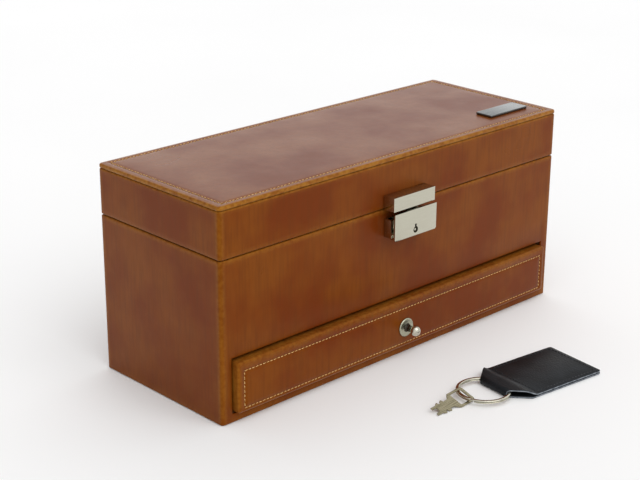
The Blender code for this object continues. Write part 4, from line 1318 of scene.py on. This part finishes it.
# ---------------------------------------------------------------- key set
@dataclass
class KeySet:
    """A flat key on a split ring, held in the fold of a sewn leather fob."""

    finishes: Finishes
    fob_spot: Point = (1.0, -128.0)
    fob_turn: float = -6.8
    fob_length: float = 69.0
    fob_half: float = 21.4
    fold_half: float = 10.5
    shoulder: float = 12.5
    leaf: float = 1.3
    fold_top: float = 5.30
    pocket: float = 9.4
    ring_spot: tuple[float, float, float] = (-6.050, -127.159, 2.866)
    ring_radius: float = 15.4
    wire_half: float = 1.05
    wire_tall: float = 0.80
    key_place: float = 167.0
    key_turn: float = 182.0
    key_roll: float = -19.0
    key_pitch: float = 3.0
    key_thickness: float = 0.8
    strap_ease: float = 0.28
    wire_ease: float = 0.26
    key_ease: float = 0.16
    seam_inset: float = 2.4
    seam_start: float = 17.5
    seam_height: float = 2.66

    def build(self) -> None:
        """Build and dress the fob, the ring and the key."""
        self._fob()
        self._ring()
        self._key()

    def _fob_frame(self) -> Matrix:
        """From the fob's own axes, along and across it, to the frame."""
        spot = Matrix.Translation((self.fob_spot[0] * MM, self.fob_spot[1] * MM, 0))
        return spot @ Matrix.Rotation(math.radians(self.fob_turn), 4, "Z")

    def _half_width(self, along: float) -> float:
        """Half width of the strap at a distance from its fold, in millimetres."""
        if along < self.shoulder:
            share = max(along, 0.0) / self.shoulder
            return self.fold_half + (self.fob_half - self.fold_half) * share
        past = max(along - (self.fob_length - 1.6), 0.0)
        return self.fob_half - 0.35 * past * past / 1.6

    def _path(self) -> list[Point]:
        """The strap's middle line: out along the table, round the fold and back on top."""
        half = self.leaf / 2
        low = [(u, half) for u in (69, 68.2, 67.4, 60, 50, 40, 30, 22, 16, 12.5, 9, 6, 4)]
        low[0] = (self.fob_length, half)
        top = self.fold_top - half
        middle = (top + half) / 2
        rise = (top - half) / 2
        bend = [
            (2.35 - 1.7 * math.sin(a), middle - rise * math.cos(a))
            for a in (math.pi * k / 10 for k in range(1, 10))]
        over = [(2.8, top), (5, top + 0.01), (7.5, top), (self.pocket, top - 0.06), (11.0, 4.12),
                (12.6, 3.46), (14.0, 2.76), (15.4, 2.16), (17.0, 1.98), (22, 1.97), (30, 2.0), (40, 2.05),
                (50, 2.03), (60, 1.98), (67.4, 1.96), (68.2, 1.96), (self.fob_length, 1.96)]
        return low + bend + over

    def _fob(self) -> None:
        """The folded strap with its cut edges, and the seam that closes it."""
        place = self._fob_frame()
        path = self._path()
        rings = []
        for k, (u, z) in enumerate(path):
            before, after = path[max(k - 1, 0)], path[min(k + 1, len(path) - 1)]
            run = Vector((after[0] - before[0], 0, after[1] - before[1])).normalized()
            up = Vector((-run.z, 0, run.x))
            section = eased_section(
                self._half_width(u), self.leaf / 2 * 0.97, self.strap_ease, middle=True)
            rings.append([
                place @ ((Vector((u, v, z)) + up * t) * MM) for v, t in section])
        bm = loft(rings)
        bm.normal_update()
        across = place.to_3x3() @ Vector((0, 1, 0))
        for face in bm.faces:
            if abs(face.normal.dot(across)) > 0.75 or len(face.verts) > 4:
                face.material_index = 1
        fob = finish_mesh(
            "key_fob_strap", bm, [self.finishes.black, self.finishes.cut_edge], 50.0)
        dress(fob, Body.FOB, ["key_fob"])
        reach, side = self.fob_length - self.seam_inset, self.fob_half - self.seam_inset
        start = self.seam_start
        corners = [(start, -side), (reach - 1, -side), (reach, -side + 1), (reach, side - 1),
                   (reach - 1, side), (start, side)]
        seam_path = [place @ Vector((u * MM, v * MM, self.seam_height * MM)) for u, v in corners]
        seam = Seam(pitch=2.6, radius=0.24, lift=0.12).sew(
            "fob_stitching", seam_path, Vector((0, 0, 1)), self.finishes.dark_thread)
        dress(seam, Body.FOB)

    def _ring(self) -> None:
        """The split ring: flat wire wound twice, stepping up where the coils cross."""
        centre = Vector(self.ring_spot) * MM
        section = eased_section(self.wire_half, self.wire_tall / 2, self.wire_ease)
        start, span, count = math.radians(200), 2 * math.tau - math.radians(6), 190
        rings = []
        for k in range(count + 1):
            turn = span * k / count
            step = min(max((turn - math.tau + math.radians(16)) / math.radians(13), 0.0), 1.0)
            lift = (self.wire_tall + 0.24) * (step * step * (3 - 2 * step) - 0.5)
            taper = min(1.0, 0.45 + 6 * min(turn, span - turn))
            angle = start + turn
            rings.append([
                centre + MM * Vector((
                    (self.ring_radius + a * taper) * math.cos(angle),
                    (self.ring_radius + a * taper) * math.sin(angle), lift + b)) for a, b in section])
        ring = finish_mesh("split_ring_coils", loft(rings), [self.finishes.steel], 50.0)
        dress(ring, Body.RING, ["split_ring"])

    def _key(self) -> None:
        """The stamped key, tilted where its bow rests on the ring."""
        half = [
            (-5.0, 4.6), (-4.6, 5.6), (-3.6, 6.2), (7.6, 6.2), (10.4, 3.2), (14.0, 3.0), (14.6, 4.8),
            (16.2, 4.2), (16.8, 2.9), (17.8, 2.9), (18.6, 4.6), (20.0, 4.0), (20.4, 3.3),
            (24.8, 3.3), (24.8, 1.7), (21.4, 1.3)]
        outline = half + [(a, -b) for a, b in reversed(half)]
        window = rounded((-3.1, -4.7), (6.2, 4.7), 0.9, steps=3)
        turn = math.radians(self.key_place)
        spot = Vector(self.ring_spot) * MM
        spot += self.ring_radius * MM * Vector((math.cos(turn), math.sin(turn), 0))
        place = (
            Matrix.Translation(spot) @ Matrix.Rotation(math.radians(self.key_turn), 4, "Z")
            @ Matrix.Rotation(math.radians(self.key_pitch), 4, "Y")
            @ Matrix.Rotation(math.radians(self.key_roll), 4, "X"))
        key = stamped_plate(
            "key_blank", [(a * MM, b * MM) for a, b in outline],
            [[(a * MM, b * MM) for a, b in window]], self.key_thickness * MM,
            self.key_ease * MM, place, self.finishes.key_nickel)
        dress(key, Body.KEY, ["key"])


# ---------------------------------------------------------------- studio
@dataclass
class Studio:
    """Pale floor, soft even light and the camera."""

    camera_spot: tuple[float, float, float] = (-624.5, -630.9, 391.1)
    yaw: float = -43.90
    pitch: float = 20.43
    roll: float = 0.33
    lens: float = 84.3
    sky: float = 0.84
    glow: float = 0.40
    glow_way: tuple[float, float, float] = (0.65, 0.675, 0.35)
    card_way: tuple[float, float, float] = (-0.78, 0.60, 0.15)
    card: float = 0.45
    key_strength: float = 0.79
    fill_strength: float = 0.10
    floor_colour: str = "#F9F9F9"
    floor_reach: float = 6.0  # in metres

    def build(self) -> None:
        """Set up the floor, the light and the camera."""
        scene = bpy.context.scene
        scene.view_settings.view_transform = "Standard"
        self._floor()
        self._world(scene)
        self._sun("overhead_softbox", (38, -2, 0), self.key_strength, 50)
        self._sun("side_softbox", (58, 0, -62), self.fill_strength, 70)
        self._camera(scene)

    def _floor(self) -> None:
        """A wide pale floor that keeps the soft shadow of the case."""
        made = Surface("matt_white_paper")
        paper = made.done(
            Base_Color=made.tint(made.noise(300, 2.0), (0.3, self.floor_colour), (0.7, "#FBFBFB")),
            Roughness=0.9, Specular_IOR_Level=0.0)
        reach = self.floor_reach
        bm = bmesh.new()
        bm.faces.new([bm.verts.new(p) for p in (
            (-reach, -reach, 0), (reach, -reach, 0), (reach, reach, 0), (-reach, reach, 0))])
        finish_mesh("studio_floor", bm, [paper])

    def _toward(
        self, tree: bpy.types.NodeTree, way: tuple[float, float, float], near: Point, light: Point
    ) -> Socket:
        """Brightness that changes smoothly towards one way.

        Args:
            tree: the world's node tree.
            way: the way it changes towards.
            near: cosines of the angles from that way where the change starts and ends.
            light: brightness before and after the change.

        Returns:
            The brightness.
        """
        facing = add(tree, "ShaderNodeVectorMath", {"operation": "DOT_PRODUCT"}, {
            0: add(tree, "ShaderNodeTexCoord").outputs["Generated"], 1: Vector(way).normalized()})
        return add(tree, "ShaderNodeMapRange", {"interpolation_type": "SMOOTHSTEP"}, {
            "Value": facing.outputs["Value"], "From Min": near[0], "From Max": near[1],
            "To Min": light[0], "To Max": light[1]}).outputs["Result"]

    def _world(self, scene: bpy.types.Scene) -> None:
        """White light from all round, brighter low down behind, with a grey card on the left."""
        world = bpy.data.worlds.new("studio_light")
        scene.world = world
        world.use_nodes = True
        tree = world.node_tree
        light = add(tree, "ShaderNodeMath", {"operation": "MULTIPLY"}, {
            0: self._toward(tree, self.glow_way, (0.62, 0.97), (self.sky, self.sky + self.glow)),
            1: self._toward(tree, self.card_way, (0.45, 0.90), (1.0, self.card))})
        sky = tree.nodes["Background"]
        sky.inputs["Color"].default_value = linear("#FFFFFF")
        tree.links.new(light.outputs["Value"], sky.inputs["Strength"])

    def _sun(self, name: str, tilt: tuple[float, float, float], strength: float, size: float) -> None:
        """A large soft lamp, far off, so that the floor is lit evenly."""
        lamp = bpy.data.lights.new(name, "SUN")
        lamp.energy = strength
        lamp.angle = math.radians(size)
        made = bpy.data.objects.new(name, lamp)
        made.rotation_euler = [math.radians(a) for a in tilt]
        bpy.context.scene.collection.objects.link(made)

    def _camera(self, scene: bpy.types.Scene) -> None:
        """The camera, level with a person standing at the table's corner."""
        yaw, pitch, roll = (math.radians(a) for a in (self.yaw, self.pitch, self.roll))
        ahead = Vector((
            -math.sin(yaw) * math.cos(pitch), math.cos(yaw) * math.cos(pitch), -math.sin(pitch)))
        right = Vector((math.cos(yaw), math.sin(yaw), 0))
        up = right.cross(ahead)
        side = math.cos(roll) * right + math.sin(roll) * up
        top = -math.sin(roll) * right + math.cos(roll) * up
        data = bpy.data.cameras.new("camera")
        data.lens = self.lens
        data.sensor_width = 36.0
        data.sensor_fit = "HORIZONTAL"
        data.clip_start = 0.01
        camera = bpy.data.objects.new("camera", data)
        turn = Matrix((side, top, -ahead)).transposed().to_4x4()
        camera.matrix_world = Matrix.Translation(Vector(self.camera_spot) * MM) @ turn
        scene.collection.objects.link(camera)
        scene.camera = camera


def main() -> None:
    """Build every sub-assembly in order."""
    logging.basicConfig(level=logging.INFO, format="%(name)s: %(message)s")
    finishes = Finishes()
    Studio().build()
    for part in (
        CaseBody(finishes), Interior(finishes), Lid(finishes), Hinges(finishes),
        PressLock(finishes), Drawer(finishes), KeySet(finishes),
    ):
        LOG.info("building %s", type(part).__name__)
        part.build()


if __name__ == "__main__":
    main()
